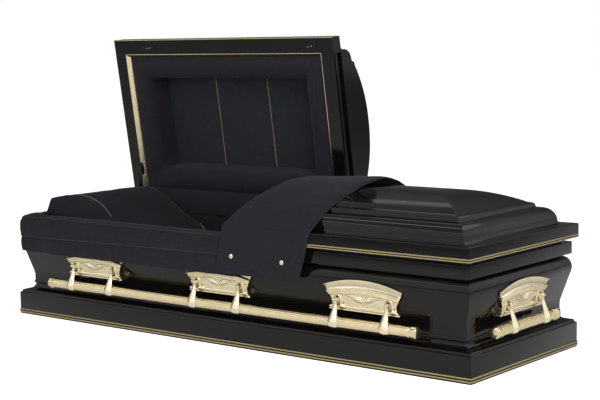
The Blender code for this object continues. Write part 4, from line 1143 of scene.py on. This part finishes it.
def arm_bmesh():
    """Teardrop arm about its pivot: a knob with a black plug as painted shade in its pin hole, a ridged drop
    and an eye on the bar.
    """
    bm = bmesh.new()
    sides, rows = 32, 54
    ring = bmesh.ops.create_circle(bm, cap_ends=True, radius=1.0, segments=sides)["verts"]
    shape = [vert.co.copy() for vert in ring]
    edges = bm.edges[:]
    top, foot = ARM_SECTIONS[0][0], ARM_SECTIONS[-1][0]
    tables = [sorted(column(ARM_SECTIONS, number)) for number in (1, 2, 3)]
    for row in range(rows + 1):
        z = top + (foot - top) * row / rows
        y, half_width, half_depth = (eased(table, z) for table in tables)
        end = min((row + 0.6) / 5.0, 1.0) * min((rows - row + 0.5) / 4.0, 1.0)
        end = (1.0 - (1.0 - end) ** 2) ** 0.5
        for vert, unit in zip(ring, shape):
            depth = 0.42 * (1.0 - abs(unit.x)) + 0.58 * abs(unit.y)
            vert.co = (half_width * unit.x * end, y + copysign(half_depth * depth * end, unit.y), z)
        if row < rows:
            fresh, edges = extruded(bm, edges)
            places = {tuple(round(value, 9) for value in vert.co): vert for vert in fresh}
            ring = [places[tuple(round(value, 9) for value in vert.co)] for vert in ring]
    bmesh.ops.contextual_create(bm, geom=edges)
    knob = turned([(0.0, 0.0066), (0.0022, 0.0062), (0.0044, 0.0048), (0.0062, 0.0036), (0.0064, 0.0),
                   (0.0062, -0.0036), (0.0044, -0.0048), (0.0022, -0.0062), (0.0, -0.0066)], 24, "X")
    # Painted shade: a black plug fills the pin hole.
    hole_shade_plug = turned([(0.0, 0.0004), (0.0019, 0.0004), (0.0024, 0.0), (0.0024, -0.0040), (0.0, -0.0040)],
                 16, "-Y")
    in_second_finish(moved(hole_shade_plug, (0.0, -0.0056, 0.0020)))
    outer, inner, half, chamfer = BAR_RADIUS + 0.0036, BAR_RADIUS + 0.0005, EYE_HALF_WIDTH, 0.0014
    eye = turned([(inner, -half), (outer - chamfer, -half), (outer, -half + 0.0018), (outer, half - 0.0018),
                  (outer - chamfer, half), (inner, half), (inner, -half)], 40, "X")
    return joined(bm, knob, hole_shade_plug, moved(eye, (0.0, -BAR_OUT, BAR_Z - PIVOT_Z)))


def bar_bmesh(half_length, reeds, depth):
    """Reeded bar along X."""
    bm = bmesh.new()
    per_reed = 8
    bmesh.ops.create_circle(bm, cap_ends=True, radius=BAR_RADIUS, segments=reeds * per_reed)
    for index, vert in enumerate(bm.verts):
        swell = abs(sin(pi * index / per_reed)) ** 0.7
        vert.co *= 1.0 - depth * (1.0 - swell) / BAR_RADIUS
    made = bmesh.ops.extrude_face_region(bm, geom=bm.faces[:])["geom"]
    bmesh.ops.translate(bm, verts=verts_in(made), vec=(0.0, 0.0, 2 * half_length))
    moved(bm, (0.0, 0.0, -half_length))
    bmesh.ops.rotate(bm, verts=bm.verts[:], matrix=Matrix.Rotation(pi / 2, 3, "Y"))
    return bm


def tip_bmesh():
    """Eight-sided tip with a collar and a domed end, along +X from its seat on the bar."""
    profile = [(0.0, 0.0), (0.0186, 0.0), (0.0200, 0.0012), (0.0200, 0.0042), (0.0190, 0.0054),
               (0.0188, 0.0062), (0.0204, 0.0074), (0.0212, 0.0100), (0.0212, 0.0260)]
    profile += arc((0.0132, 0.0260), (0.0080, 0.0086), 0, 80, 7)
    profile += [(0.0090, 0.0356), (0.0, TIP_LENGTH)]
    bm = turned(profile, 64, "X")
    for vert in bm.verts:
        if vert.co.x > 0.0065:
            angle = vert.co.yz.angle_signed(Vector((1.0, 0.0)), 0.0) if vert.co.yz.length else 0.0
            flat = cos(pi / 8) / cos((angle + pi / 8) % (pi / 4) - pi / 8)
            factor = 1.0 - 0.75 * (1.0 - flat) * step_up(0.0340, 0.0270, vert.co.x)
            vert.co.y *= factor
            vert.co.z *= factor
    return bm


class CASKET_OT_handles(Operator):
    """Build the cast ears, teardrop arms, reeded bars and their tips"""

    bl_idname = "casket.handles"
    bl_label = "Handles"

    def execute(self, context):
        sizes = context.scene.casket_sizes
        cheeks = []
        for side in (-1.0, 1.0):
            for cheek in (-1.0, 1.0):
                x = side * ARM_HALF_SPACING + cheek * CHEEK_SPACING
                cheeks.append(moved(cheek_bmesh(), (x, 0.0, 0.0)))
        ear = closed_up("ear", joined(ear_bmesh(sizes.leaf_height), *cheeks))
        arm = closed_up("arm", arm_bmesh())
        tip = closed_up("tip", tip_bmesh())
        for label, seat, turn, half_length, shift, ear_places in HANDLES:
            side = Matrix.Translation(seat) @ Matrix.Rotation(turn, 4, "Z")
            body = f"{label}_handle"
            for number, x in enumerate(ear_places, start=1):
                name = f"{label}_ear_{number}" if len(ear_places) > 1 else f"{label}_ear"
                self.copy_piece(name, ear, side @ Matrix.Translation((x, 0.0, 0.0)), "base")
            pivot = side @ Matrix.Translation((0.0, 0.0, PIVOT_Z))
            arm_places = [x + step for x in ear_places for step in (-ARM_HALF_SPACING, ARM_HALF_SPACING)]
            for number, x in enumerate(arm_places, start=1):
                self.copy_piece(f"{label}_arm_{number}", arm, pivot @ Matrix.Translation((x, 0.0, 0.0)), body)
            bar_half = half_length - TIP_LENGTH - GAP
            line = pivot @ Matrix.Translation((shift, -BAR_OUT, BAR_Z - PIVOT_Z))
            bar = closed_up("bar", bar_bmesh(bar_half, sizes.reeds, sizes.reed_depth))
            self.copy_piece(f"{label}_bar", bar, line, body)
            for number, direction in ((1, -1.0), (2, 1.0)):
                end = line @ Matrix.Translation((direction * (bar_half + GAP), 0.0, 0.0))
                if direction < 0.0:
                    end = end @ Matrix.Rotation(pi, 4, "Z")
                self.copy_piece(f"{label}_tip_{number}", tip, end, body)
        return {"FINISHED"}

    @staticmethod
    def copy_piece(name, mesh, place, body):
        own = mesh.copy()
        own.transform(place)
        if "arm" in name:
            # An arm's second finish is the black plug of painted shade in its pin hole.
            materials = [MATERIALS["gold"], MATERIALS["hardware"]]
        else:
            materials = MATERIALS["gold" if "ear" in name else "bar"]
        mesh_piece(f"{name}_finish", own, materials, body, (name,), sharp=42.0)


def frame_point(corners, share, inset, z, radius=0.0):
    """A point at a share of the way round an inset rectangle; the head end's two corners may be rounded."""
    low_x, high_x, half_y = corners
    ring = [Vector((high_x - inset, -half_y + inset, z)), Vector((low_x + inset, -half_y + inset, z)),
            Vector((low_x + inset, half_y - inset, z)), Vector((high_x - inset, half_y - inset, z))]
    side = int(min(share * 4.0, 3.9999))
    before, start, end, after = (ring[(side + step) % 4] for step in (-1, 0, 1, 2))
    point = start.lerp(end, share * 4.0 - side)
    for corner, beyond, reached in ((end, after, side in (0, 1)), (start, before, side in (1, 2))):
        away = (point - corner).length
        if reached and away < radius:
            turn = radians(45.0) * (1.0 - away / radius)
            back = ((start if corner is end else end) - corner).normalized()
            across = (beyond - corner).normalized()
            return corner + radius * ((1.0 - sin(turn)) * back + (1.0 - cos(turn)) * across)
    return point


class CASKET_OT_lid_lining(Operator):
    """Build the head lid's puffed roll and its flat centre panel with two pipings"""

    bl_idname = "casket.lid_lining"
    bl_label = "Lid lining"

    def execute(self, context):
        sizes = context.scene.casket_sizes
        corners = (-FLANGE_HALF_X, SPLIT_X, FLANGE_HALF_Y)
        face_steps = 48
        section = smooth_line(ROLL_FACE, face_steps) + list(ROLL_BACK)
        count = len(section)

        def place(u, v):
            index = int(round(v * count)) % count
            inset, z = section[index]
            soft = ROLL_CORNER_RADIUS * step_up(0.085, 0.140, inset)
            point = frame_point(corners, u, inset, z, soft)
            to_seam = max(SPLIT_X - inset - point.x, FLANGE_HALF_Y - inset - abs(point.y))
            if index <= face_steps:
                swell = sin(pi * index / face_steps)
                point.z += swell * 0.0040 * exp(-(to_seam / 0.0070) ** 2)
                point.z += swell * 0.0010 * noise.noise(point * 14.0)
                pressed = exp(-((point.x + 0.915) / 0.08) ** 2) * step_up(0.17, 0.22, point.y)
                point.z += swell * 0.0160 * pressed
            return point

        width = 2 * (SPLIT_X + FLANGE_HALF_X) + 4 * FLANGE_HALF_Y
        bm = cloth_grid(480, count, place, width, run_length(section))
        merged(bm)
        roll = new_piece("head_lid_roll_finish", bm, MATERIALS["cloth"], "head_lid", ("head_lid_roll",),
                         sharp=75.0, place=HEAD_LID_PLACE)
        self.panel(sizes)
        return {"FINISHED"}

    @staticmethod
    def panel(sizes):
        """The flat cloth inside the roll, which sags a little between its two pipings."""
        low_x, high_x = -(FLANGE_HALF_X - PANEL_INSET), SPLIT_X - PANEL_INSET
        half_y = FLANGE_HALF_Y - PANEL_INSET
        width, length = high_x - low_x, 2 * half_y

        def surface(x, y):
            """Closed height of the panel's cloth: a slight sag and a furrow along each piping."""
            across = 1.0 - (2 * (x - low_x) / width - 1.0) ** 2
            down = 1.0 - (y / half_y) ** 2
            z = PANEL_BOTTOM + 0.0008 + 0.0012 * across * down
            for line in PANEL_PIPING_X:
                z += 0.0011 * exp(-((x - line) / 0.0050) ** 2)
            return z + 0.0004 * drift(x * 14.0, y * 9.0, 0.3)

        def place(u, v):
            x, y = low_x + width * u, -half_y + length * v
            return Vector((x, y, surface(x, y)))

        bm = cloth_grid(180, 60, place, width, length)
        piece = new_piece("head_lid_panel_finish", bm, MATERIALS["panel"], "head_lid", ("head_lid_panel",),
                          place=HEAD_LID_PLACE)
        give_wall(piece, 0.0060, 0.0)
        for number, x in enumerate(PANEL_PIPING_X, start=1):
            ys = [-half_y * 0.96 + length * 0.96 * step / 30 for step in range(31)]
            tube = tube_along([(x, y, surface(x, y) - 0.0036) for y in ys], sizes.piping, 8)
            new_piece(f"head_lid_panel_piping_{number}", tube, MATERIALS["piping"], "head_lid",
                      sharp=60.0, place=HEAD_LID_PLACE)


def extendover_line(front_inset, corner_inset, z):
    """Path of the cloth at one height: along the front, round the head corner and along the head end."""
    front_y = -(BASE_HALF_Y - front_inset)
    corner_y = -(BASE_HALF_Y - corner_inset)
    head_x = -(BASE_HALF_X - corner_inset)
    flare_x = -(BASE_HALF_X - front_inset)
    turn = EXTENDOVER_CORNER
    near_x, corner_x = EXTENDOVER_TURN_X
    line = [(EXTENDOVER_FOOT_X, front_y, z)]
    line += [(near_x + (corner_x - near_x) * t, front_y + (corner_y - front_y) * step_up(0.0, 1.0, t), z)
             for t in (0.0, 0.2, 0.4, 0.6, 0.8, 1.0)]
    line += [(x, y, z) for x, y in arc((head_x + turn, corner_y + turn), (-turn, -turn), 90, 0, 6)]
    line += [(head_x + (flare_x - head_x) * step_up(0.0, 1.0, t),
              EXTENDOVER_FLARE_Y + (EXTENDOVER_TURN_Y - EXTENDOVER_FLARE_Y) * t, z)
             for t in (0.0, 0.25, 0.5, 0.75, 1.0)]
    line.append((flare_x, EXTENDOVER_BACK_Y, z))
    return line


class CASKET_OT_lining(Operator):
    """Build the cloth turned over the front and head rim, and the lining of the walls"""

    bl_idname = "casket.lining"
    bl_label = "Lining"

    def execute(self, context):
        sizes = context.scene.casket_sizes
        colors = context.scene.casket_colors
        steps = 72
        section = smooth_line(EXTENDOVER_SECTION, steps)
        lines = [extendover_line(*point) for point in section]
        profile = [(point[0], point[2]) for point in section]
        width, length = run_length(lines[0]), run_length(profile)
        corner_share = run_length(lines[0][:10]) / width

        def seam_place(height):
            index = min(range(steps // 2), key=lambda number: abs(section[number][2] - height))
            return run_length(profile[:index + 1])

        seams = [(seam_place(foot), seam_place(head)) for foot, head in EXTENDOVER_STITCHES]
        material = woven_cloth("charcoal_crepe_stitched", tuple(colors.cloth), True, sizes.weave,
                               seams_and_shadow_lines=seams, run=corner_share * width, thread=tint(colors.piping, 0.25))

        def place(u, v):
            index = int(round(v * steps))
            point = place_on(lines[index], u)
            before, after = profile[max(index - 1, 0)], profile[min(index + 1, steps)]
            run = Vector((after[0] - before[0], after[1] - before[1])).normalized()
            away = run_length(profile[:index + 1]) if index else 0.0
            share = min(u / corner_share, 1.0)
            low, high = (first + (last - first) * share for first, last in seams)
            groove = exp(-((away - low) / 0.0045) ** 2) + exp(-((away - high) / 0.0045) ** 2)
            puff = sin(pi * min(away / low, 1.0)) + sin(pi * min(max((away - low) / (high - low), 0.0), 1.0))
            near_corner = exp(-((u - corner_share) / 0.09) ** 2)
            fine = drift(u * 90.0, v * 3.0, 4.7)
            stand = 0.0022 * puff - 0.0036 * min(groove, 1.0)
            ripple = 0.0022 * drift(u * 48.0, v * 1.3, 0.7) + (0.0003 + 0.0007 * near_corner) * fine
            stand += ripple * step_up(0.0, 0.15, v) * step_up(1.0, 0.75, v)
            crest = exp(-((away - high - 0.012) / 0.022) ** 2)
            stand += (0.0075 * near_corner * fine + 0.0020 * drift(u * 26.0, v * 2.0, 3.3)) * crest
            turn = step_up(corner_share - 0.004, corner_share + 0.004, u)
            out = Vector((-turn, turn - 1.0, 0.0))
            return point + out * (run.y * stand) + Vector((0.0, 0.0, run.x * stand))

        bm = cloth_grid(620, steps, place, width, length)
        extendover = new_piece("extendover_finish", bm, material, "base", ("extendover",),
                               sharp=75.0)
        give_wall(extendover, 0.0030)
        self.wall_lining()
        self.back_cloth(sizes, colors)
        return {"FINISHED"}

    @staticmethod
    def wall_lining():
        """The gathered lining round the four walls, open at the top."""
        corners = (-BASE_HALF_X, BASE_HALF_X, BASE_HALF_Y)
        low, high = LINING_Z

        def place(u, v):
            gather = drift(u * 150.0, v * 1.2, 9.0) * step_up(0.0, 0.2, 1.0 - v)
            return frame_point(corners, u, LINING_INSET + 0.0016 * gather, low + (high - low) * v)

        bm = cloth_grid(720, 20, place, 4 * (BASE_HALF_X + BASE_HALF_Y), high - low)
        merged(bm)
        piece = new_piece("lining_finish", bm, MATERIALS["cloth"], "base", ("lining",),
                          sharp=60.0)
        give_wall(piece, 0.0024, 0.0)

    @staticmethod
    def back_cloth(sizes, colors):
        """Cloth from the lining's top at the back up to the open lid's roll; it folds at the hinge."""
        steps = 20
        line = smooth_line(BACK_CLOTH_LINE, steps)
        low_x, high_x = BACK_CLOTH_X
        width, length = high_x - low_x, run_length(line)

        def place(u, v):
            y, z = line[int(round(v * steps))]
            soft = drift(u * 16.0, v * 1.5, 5.0) + 0.4 * drift(u * 60.0, v * 2.0, 8.0)
            return Vector((low_x + width * u, y - 0.0020 * soft * sin(pi * v), z))

        # Painted shadow: a near-black dashed line along the top edge stands for the shade where the edge
        # meets the roll.
        edge_shadow_line = (length - 0.0022, length - 0.0022)
        material = woven_cloth("charcoal_crepe_back", tuple(colors.cloth), True, sizes.weave, seams_and_shadow_lines=[edge_shadow_line],
                               thread=tint(colors.cloth, 0.2))
        piece = new_piece("back_cloth", cloth_grid(260, steps, place, width, length), material, None,
                          sharp=60.0)
        give_wall(piece, 0.0020, 0.0)
        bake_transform(piece)


def incline_place():
    """Turn and place of the pillow: its centre on the slope, and its length down the slope."""
    along, below = PILLOW_LENGTH / 2, PILLOW_THICKNESS / 2
    x = PILLOW_TOP_HEAD[0] + along * cos(PILLOW_TILT) - below * sin(PILLOW_TILT)
    z = PILLOW_TOP_HEAD[1] - along * sin(PILLOW_TILT) - below * cos(PILLOW_TILT)
    return Matrix.Translation((x, 0.0, z)) @ Matrix.Rotation(PILLOW_TILT, 4, "Y")


def pillow_bmesh():
    """Pillow about its own centre: thin at its four sides and crowned on top."""
    bm = bmesh.new()
    bmesh.ops.create_cube(bm, size=2.0)
    bmesh.ops.subdivide_edges(bm, edges=bm.edges[:], cuts=15, use_grid_fill=True)
    for vert in bm.verts:
        u, v, w = vert.co
        side = max(abs(u), abs(v))
        thin = 1.0 - 0.16 * step_up(0.80, 1.0, side)
        pull = 1.0 - 0.010 * (1.0 - min(abs(u), abs(v)) ** 2) * step_up(0.8, 1.0, side)
        crown = 0.95 * (1.0 - u ** 6) + 0.20 * exp(-((u + 0.3) / 0.35) ** 2)
        lift = PILLOW_CROWN * crown if w > 0.0 else 0.0
        vert.co = (u * PILLOW_LENGTH / 2 * 0.992 * pull, v * PILLOW_HALF_WIDTH * 0.994 * pull,
                   w * PILLOW_THICKNESS / 2 * thin * 0.96 + lift)
    return bm


class CASKET_OT_bed(Operator):
    """Build the mattress and the pillow with its pipings"""

    bl_idname = "casket.bed"
    bl_label = "Bed"

    def execute(self, context):
        sizes = context.scene.casket_sizes
        bm = puffed(pillow_bmesh(), PILLOW_VOXEL, sizes.fullness, PILLOW_SWELL_CAP)
        for vert in bm.verts:
            u, v = 2 * vert.co.x / PILLOW_LENGTH, vert.co.y / PILLOW_HALF_WIDTH
            corner = exp(-((u + 1.0) ** 2 + (v + 1.0) ** 2) / 0.10)
            rays = drift(vert.co.x * 55.0, vert.co.y * 16.0, 1.9)
            soft = drift(vert.co.x * 9.0, vert.co.y * 7.0, 6.0)
            pressed = exp(-((u + 0.85) ** 2 / 0.10 + (v - 1.0) ** 2 / 0.02))
            vert.co.z += 0.0060 * corner * rays + 0.0022 * soft - 0.0100 * pressed
        pillow = new_piece("pillow_finish", bm, MATERIALS["pad_cloth"], "base", ("pillow",),
                           sharp=180.0, place=incline_place())
        self.pillow_piping(pillow, sizes)
        self.mattress()
        return {"FINISHED"}

    @staticmethod
    def pillow_piping(pillow, sizes):
        """Two sewn pipings, and a black tube along the far edge as a painted shadow line, laid on the pillow
        from above.
        """
        tree = BVHTree.FromPolygons([vert.co for vert in pillow.data.vertices],
                                    [tuple(face.vertices) for face in pillow.data.polygons])
        for name, keys, material, radius in (
                ("pillow_piping_1", PILLOW_NEAR_PIPING, "piping", sizes.piping),
                ("pillow_piping_2", PILLOW_FAR_PIPING, "piping", sizes.piping),
                ("pillow_shadow_line", PILLOW_SHADOW_LINE, "shadow_line_cloth", 2.4 * sizes.piping)):
            points = []
            for x, y in smooth_line(keys, 60):
                hit = tree.ray_cast(Vector((x, y, 1.0)), Vector((0.0, 0.0, -1.0)))[0]
                if hit is not None:
                    points.append(hit + Vector((0.0, 0.0, 0.4 * radius)))
            new_piece(name, tube_along(points, radius, 8), MATERIALS[material], "base",
                      sharp=60.0)

    @staticmethod
    def mattress():
        """The quilted bed, flat under the body and sloping up under the pillow."""
        head_top = incline_place() @ Vector((-PILLOW_LENGTH / 2 + 0.02, 0.0, -PILLOW_THICKNESS / 2 - 0.004))
        fold_drop = (head_top.z - BED_TOP) / sin(PILLOW_TILT)
        fold_x = head_top.x + fold_drop * cos(PILLOW_TILT)
        top = [(head_top.x, head_top.z), (fold_x - 0.05, BED_TOP + 0.026), (fold_x, BED_TOP + 0.005),
               (fold_x + 0.06, BED_TOP), (BED_FOOT_X, BED_TOP)]
        line = smooth_line(top, 90)

        def upper(u, v):
            x, z = line[int(round(u * 90))]
            across = 2.0 * v - 1.0
            edge = step_up(0.0, 0.07, 1.0 - abs(across)) * step_up(0.0, 0.03, min(u, 1.0 - u) + 0.012)
            quilt = abs(sin(pi * x / QUILT_PITCH)) ** 0.35
            quilt *= abs(sin(pi * (across * BED_HALF_WIDTH + QUILT_PITCH / 2) / QUILT_PITCH)) ** 0.35
            return Vector((x, across * BED_HALF_WIDTH, z - 0.016 * (1.0 - edge) - 0.004 * (1.0 - quilt)))

        bm = cloth_grid(90, 64, upper, run_length(line), 2 * BED_HALF_WIDTH)
        fresh, loop = extruded(bm, [edge for edge in bm.edges if edge.is_boundary])
        for vert in fresh:
            vert.co.z = BED_BOTTOM + max(BED_RISE_X - vert.co.x, 0.0) * BED_RISE
        bmesh.ops.contextual_create(bm, geom=loop)
        piece = new_piece("mattress_finish", bm, MATERIALS["cloth"], "base", ("mattress",),
                          sharp=60.0)


def upper_hull(points):
    """Upper convex hull of points sorted by their first value."""
    hull = []
    for point in sorted(points):
        while len(hull) > 1:
            (ax, az), (bx, bz) = hull[-2], hull[-1]
            if (bx - ax) * (point[1] - az) - (bz - az) * (point[0] - ax) < 0.0:
                break
            hull.pop()
        hull.append(point)
    return hull


def throw_lines():
    """Inner and outer line of the throw as (y, z), from the front hem over the lid to its back ledge."""
    dome = [(inset - FLANGE_HALF_Y, z) for inset, z in dome_profile() if z > FLANGE_TOP]
    dome += [(-y, z) for y, z in dome]
    hull = [point for point in upper_hull(dome) if point[0] < THROW_BACK_Y]
    over = offset_line(hull[1:], -0.0006)
    front = [THROW_HEM, (-0.3620, 0.3300), (-0.3618, 0.3900), (-0.3617, 0.4290), (-0.3590, 0.4365)]
    inner = front + [point for point in over if point[0] > -0.345]
    return inner, offset_line(inner, -THROW_THICKNESS)


def throw_place(y, z):
    """Place along the throw: -1 at the hem, 0 at the flange, 1 from the crown's near side on."""
    if y < -FLANGE_HALF_Y:
        return max(-1.0, (z - FLANGE_TOP) / (FLANGE_TOP - THROW_HEM[1]))
    return min(1.0, (y + FLANGE_HALF_Y) / THROW_CROWN_RUN)


class CASKET_OT_throw(Operator):
    """Build the throw over the foot lid and its two gold buttons"""

    bl_idname = "casket.throw"
    bl_label = "Throw"

    def execute(self, context):
        inner, outer = throw_lines()
        steps = 190
        outer_line = smooth_line(dense(outer, 0.03), steps)
        length = run_length(outer_line)
        self.outer_line = outer_line

        def place(u, v):
            index = int(round(v * steps))
            y, z = outer_line[index]
            at = throw_place(y, z)
            left, right = between(THROW_LEFT, at), between(THROW_RIGHT, at)
            short = max(0.0, HEM_CORNER_RADIUS - v * length)
            right -= HEM_CORNER_RADIUS - (HEM_CORNER_RADIUS ** 2 - short ** 2) ** 0.5
            width = right - left
            x = left + width * u
            before = outer_line[max(index - 1, 0)]
            after = outer_line[min(index + 1, steps)]
            run = Vector((after[0] - before[0], after[1] - before[1])).normalized()
            down = Vector((run.y, -run.x))
            to_left, to_right = u * width, (1.0 - u) * width
            roll = THROW_THICKNESS * 0.75
            drop = roll * (step_up(0.020, 0.0, to_right) + 0.4 * step_up(0.012, 0.0, to_left))
            drop += 0.0012 * exp(-((to_right - 0.022) / 0.004) ** 2)
            drop += 0.0035 * step_up(0.012, 0.0, v * length)
            drop += 0.0010 * drift(u * 6.0, v * 5.0, 2.0) + 0.0007
            stand = between(THROW_LIFT, y) * (THROW_LEFT_LIFT_SHARE + (1.0 - THROW_LEFT_LIFT_SHARE) * u)
            return Vector((x, y + down.x * drop, z + down.y * drop + stand))

        bm = cloth_grid(96, steps, place, 0.365, length)
        piece = new_piece("throw_finish", bm, MATERIALS["cloth"], "foot_lid", ("throw",),
                          sharp=80.0)
        give_wall(piece, 0.0022)
        buttons = [self.button(number, x, z) for number, (x, z) in enumerate(BUTTON_PLACES, start=1)]
        return {"FINISHED"}

    def button(self, number, x, z):
        """A domed gold button on the throw's front flap."""
        profile = [(0.0, 0.0050), (0.0026, 0.0049), (0.0050, 0.0044), (0.0070, 0.0034), (0.0084, 0.0020),
                   (BUTTON_RADIUS, 0.0008), (BUTTON_RADIUS, 0.0), (0.0, 0.0)]
        face = sorted((point[1], point[0]) for point in self.outer_line if point[1] < FLANGE_TOP)
        bm = moved(turned(profile, 32, "-Y"), (x, between(face, z) + 0.0004, z))
        return new_piece(f"throw_button_{number}_finish", bm, MATERIALS["gold"], "foot_lid",
                         (f"throw_button_{number}",), sharp=50.0)


class CASKET_OT_stage(Operator):
    """Lay the floor, hang the studio lights and set the camera"""

    bl_idname = "casket.stage"
    bl_label = "Stage"

    def execute(self, context):
        scene = context.scene
        scene.view_settings.view_transform = "Standard"
        bm = bmesh.new()
        bmesh.ops.create_grid(bm, x_segments=2, y_segments=2, size=FLOOR_HALF)
        mesh = bpy.data.meshes.new("floor")
        bm.to_mesh(mesh)
        bm.free()
        mesh.materials.append(floor_finish(scene.casket_colors))
        floor = bpy.data.objects.new("floor", mesh)
        floor.location = (0.0, 0.0, -FLOOR_DROP)
        scene.collection.objects.link(floor)
        self.world(scene)
        for lamp in LAMPS:
            self.light(*lamp)
        self.camera(scene)
        return {"FINISHED"}

    @staticmethod
    def world(scene):
        """White to the eye, a soft overcast for dull surfaces, and a dim room with a lit side in gloss."""
        world = bpy.data.worlds.new("studio")
        world.use_nodes = True
        tree = world.node_tree

        def node(kind, *links):
            made = tree.nodes.new(kind)
            for socket, source in links:
                tree.links.new(source, made.inputs[socket])
            return made

        def sky(stops):
            ramp = node("ShaderNodeValToRGB", (0, parts.outputs["Z"]))
            elements = ramp.color_ramp.elements
            for position, _ in stops[1:-1]:
                elements.new(position)
            for element, (position, value) in zip(elements, stops):
                element.color = (value, value, value, 1.0)
            return ramp.outputs[0]

        def mixed(share, first, second):
            mix = node("ShaderNodeMix")
            mix.data_type = "RGBA"
            for socket, source in ((0, share), (6, first), (7, second)):
                tree.links.new(source, mix.inputs[socket])
            return mix.outputs[2]

        parts = node("ShaderNodeSeparateXYZ", (0, node("ShaderNodeTexCoord").outputs["Generated"]))
        rays = node("ShaderNodeLightPath").outputs
        across = node("ShaderNodeMath", (0, parts.outputs["X"]), (1, parts.outputs["Y"]))
        across.operation = "SUBTRACT"
        facing = node("ShaderNodeMapRange", ("Value", across.outputs[0]))
        facing.inputs["From Min"].default_value, facing.inputs["From Max"].default_value = SKY_TURN
        in_gloss = mixed(facing.outputs[0], sky(SKY_DIM_SIDE), sky(SKY_LIT_SIDE))
        white = node("ShaderNodeRGB").outputs[0]
        white.default_value = (1.0, 1.0, 1.0, 1.0)
        tone = mixed(rays["Is Glossy Ray"], sky(SKY_ON_DULL), in_gloss)
        tone = mixed(rays["Is Camera Ray"], tone, white)
        tree.links.new(tone, tree.nodes["Background"].inputs["Color"])
        scene.world = world

    @staticmethod
    def light(name, place, target, size, power, mirrored):
        data = bpy.data.lights.new(name, "AREA")
        data.shape = "RECTANGLE"
        data.size, data.size_y = size
        data.energy = power
        lamp = bpy.data.objects.new(name, data)
        lamp.location = place
        lamp.rotation_euler = (Vector(target) - Vector(place)).to_track_quat("-Z", "Y").to_euler()
        lamp.visible_glossy = mirrored
        bpy.context.scene.collection.objects.link(lamp)

    @staticmethod
    def camera(scene):
        data = bpy.data.cameras.new("camera")
        data.lens = CAMERA_LENS
        data.sensor_width = 36.0
        data.shift_x, data.shift_y = CAMERA_SHIFT
        data.clip_end = 200.0
        camera = bpy.data.objects.new("camera", data)
        look = Vector((-sin(CAMERA_YAW) * cos(CAMERA_PITCH), cos(CAMERA_YAW) * cos(CAMERA_PITCH),
                       -sin(CAMERA_PITCH)))
        level = Vector((cos(CAMERA_YAW), sin(CAMERA_YAW), 0.0))
        up = level.cross(look)
        right = cos(CAMERA_ROLL) * level + sin(CAMERA_ROLL) * up
        top = -sin(CAMERA_ROLL) * level + cos(CAMERA_ROLL) * up
        turn = Matrix((right, top, -look)).transposed().to_4x4()
        camera.matrix_world = Matrix.Translation(CAMERA_PLACE) @ turn
        scene.collection.objects.link(camera)
        scene.camera = camera


OPERATORS = (CASKET_OT_finishes, CASKET_OT_base, CASKET_OT_lids, CASKET_OT_handles, CASKET_OT_lid_lining,
             CASKET_OT_lining, CASKET_OT_bed, CASKET_OT_throw, CASKET_OT_stage)


class CASKET_PT_sidebar(Panel):
    """Lists the casket's sizes, colours and building steps"""

    bl_idname = "CASKET_PT_sidebar"
    bl_label = "Casket"
    bl_space_type = "VIEW_3D"
    bl_region_type = "UI"
    bl_category = "Casket"

    def draw(self, context):
        layout = self.layout
        for group in (context.scene.casket_sizes, context.scene.casket_colors):
            for name in group.__annotations__:
                layout.prop(group, name)
        for operator in OPERATORS:
            layout.operator(operator.bl_idname)


CLASSES = (CasketSizes, CasketColors, *OPERATORS, CASKET_PT_sidebar)


def register():
    for cls in CLASSES:
        bpy.utils.register_class(cls)
    bpy.types.Scene.casket_sizes = PointerProperty(type=CasketSizes)
    bpy.types.Scene.casket_colors = PointerProperty(type=CasketColors)


def unregister():
    del bpy.types.Scene.casket_colors
    del bpy.types.Scene.casket_sizes
    for cls in reversed(CLASSES):
        bpy.utils.unregister_class(cls)


def main():
    register()
    bpy.ops.casket.finishes()
    bpy.ops.casket.base()
    bpy.ops.casket.lids()
    bpy.ops.casket.handles()
    bpy.ops.casket.lid_lining()
    bpy.ops.casket.lining()
    bpy.ops.casket.bed()
    bpy.ops.casket.throw()
    bpy.ops.casket.stage()
    bpy.context.view_layer.update()


if __name__ == "__main__":
    main()
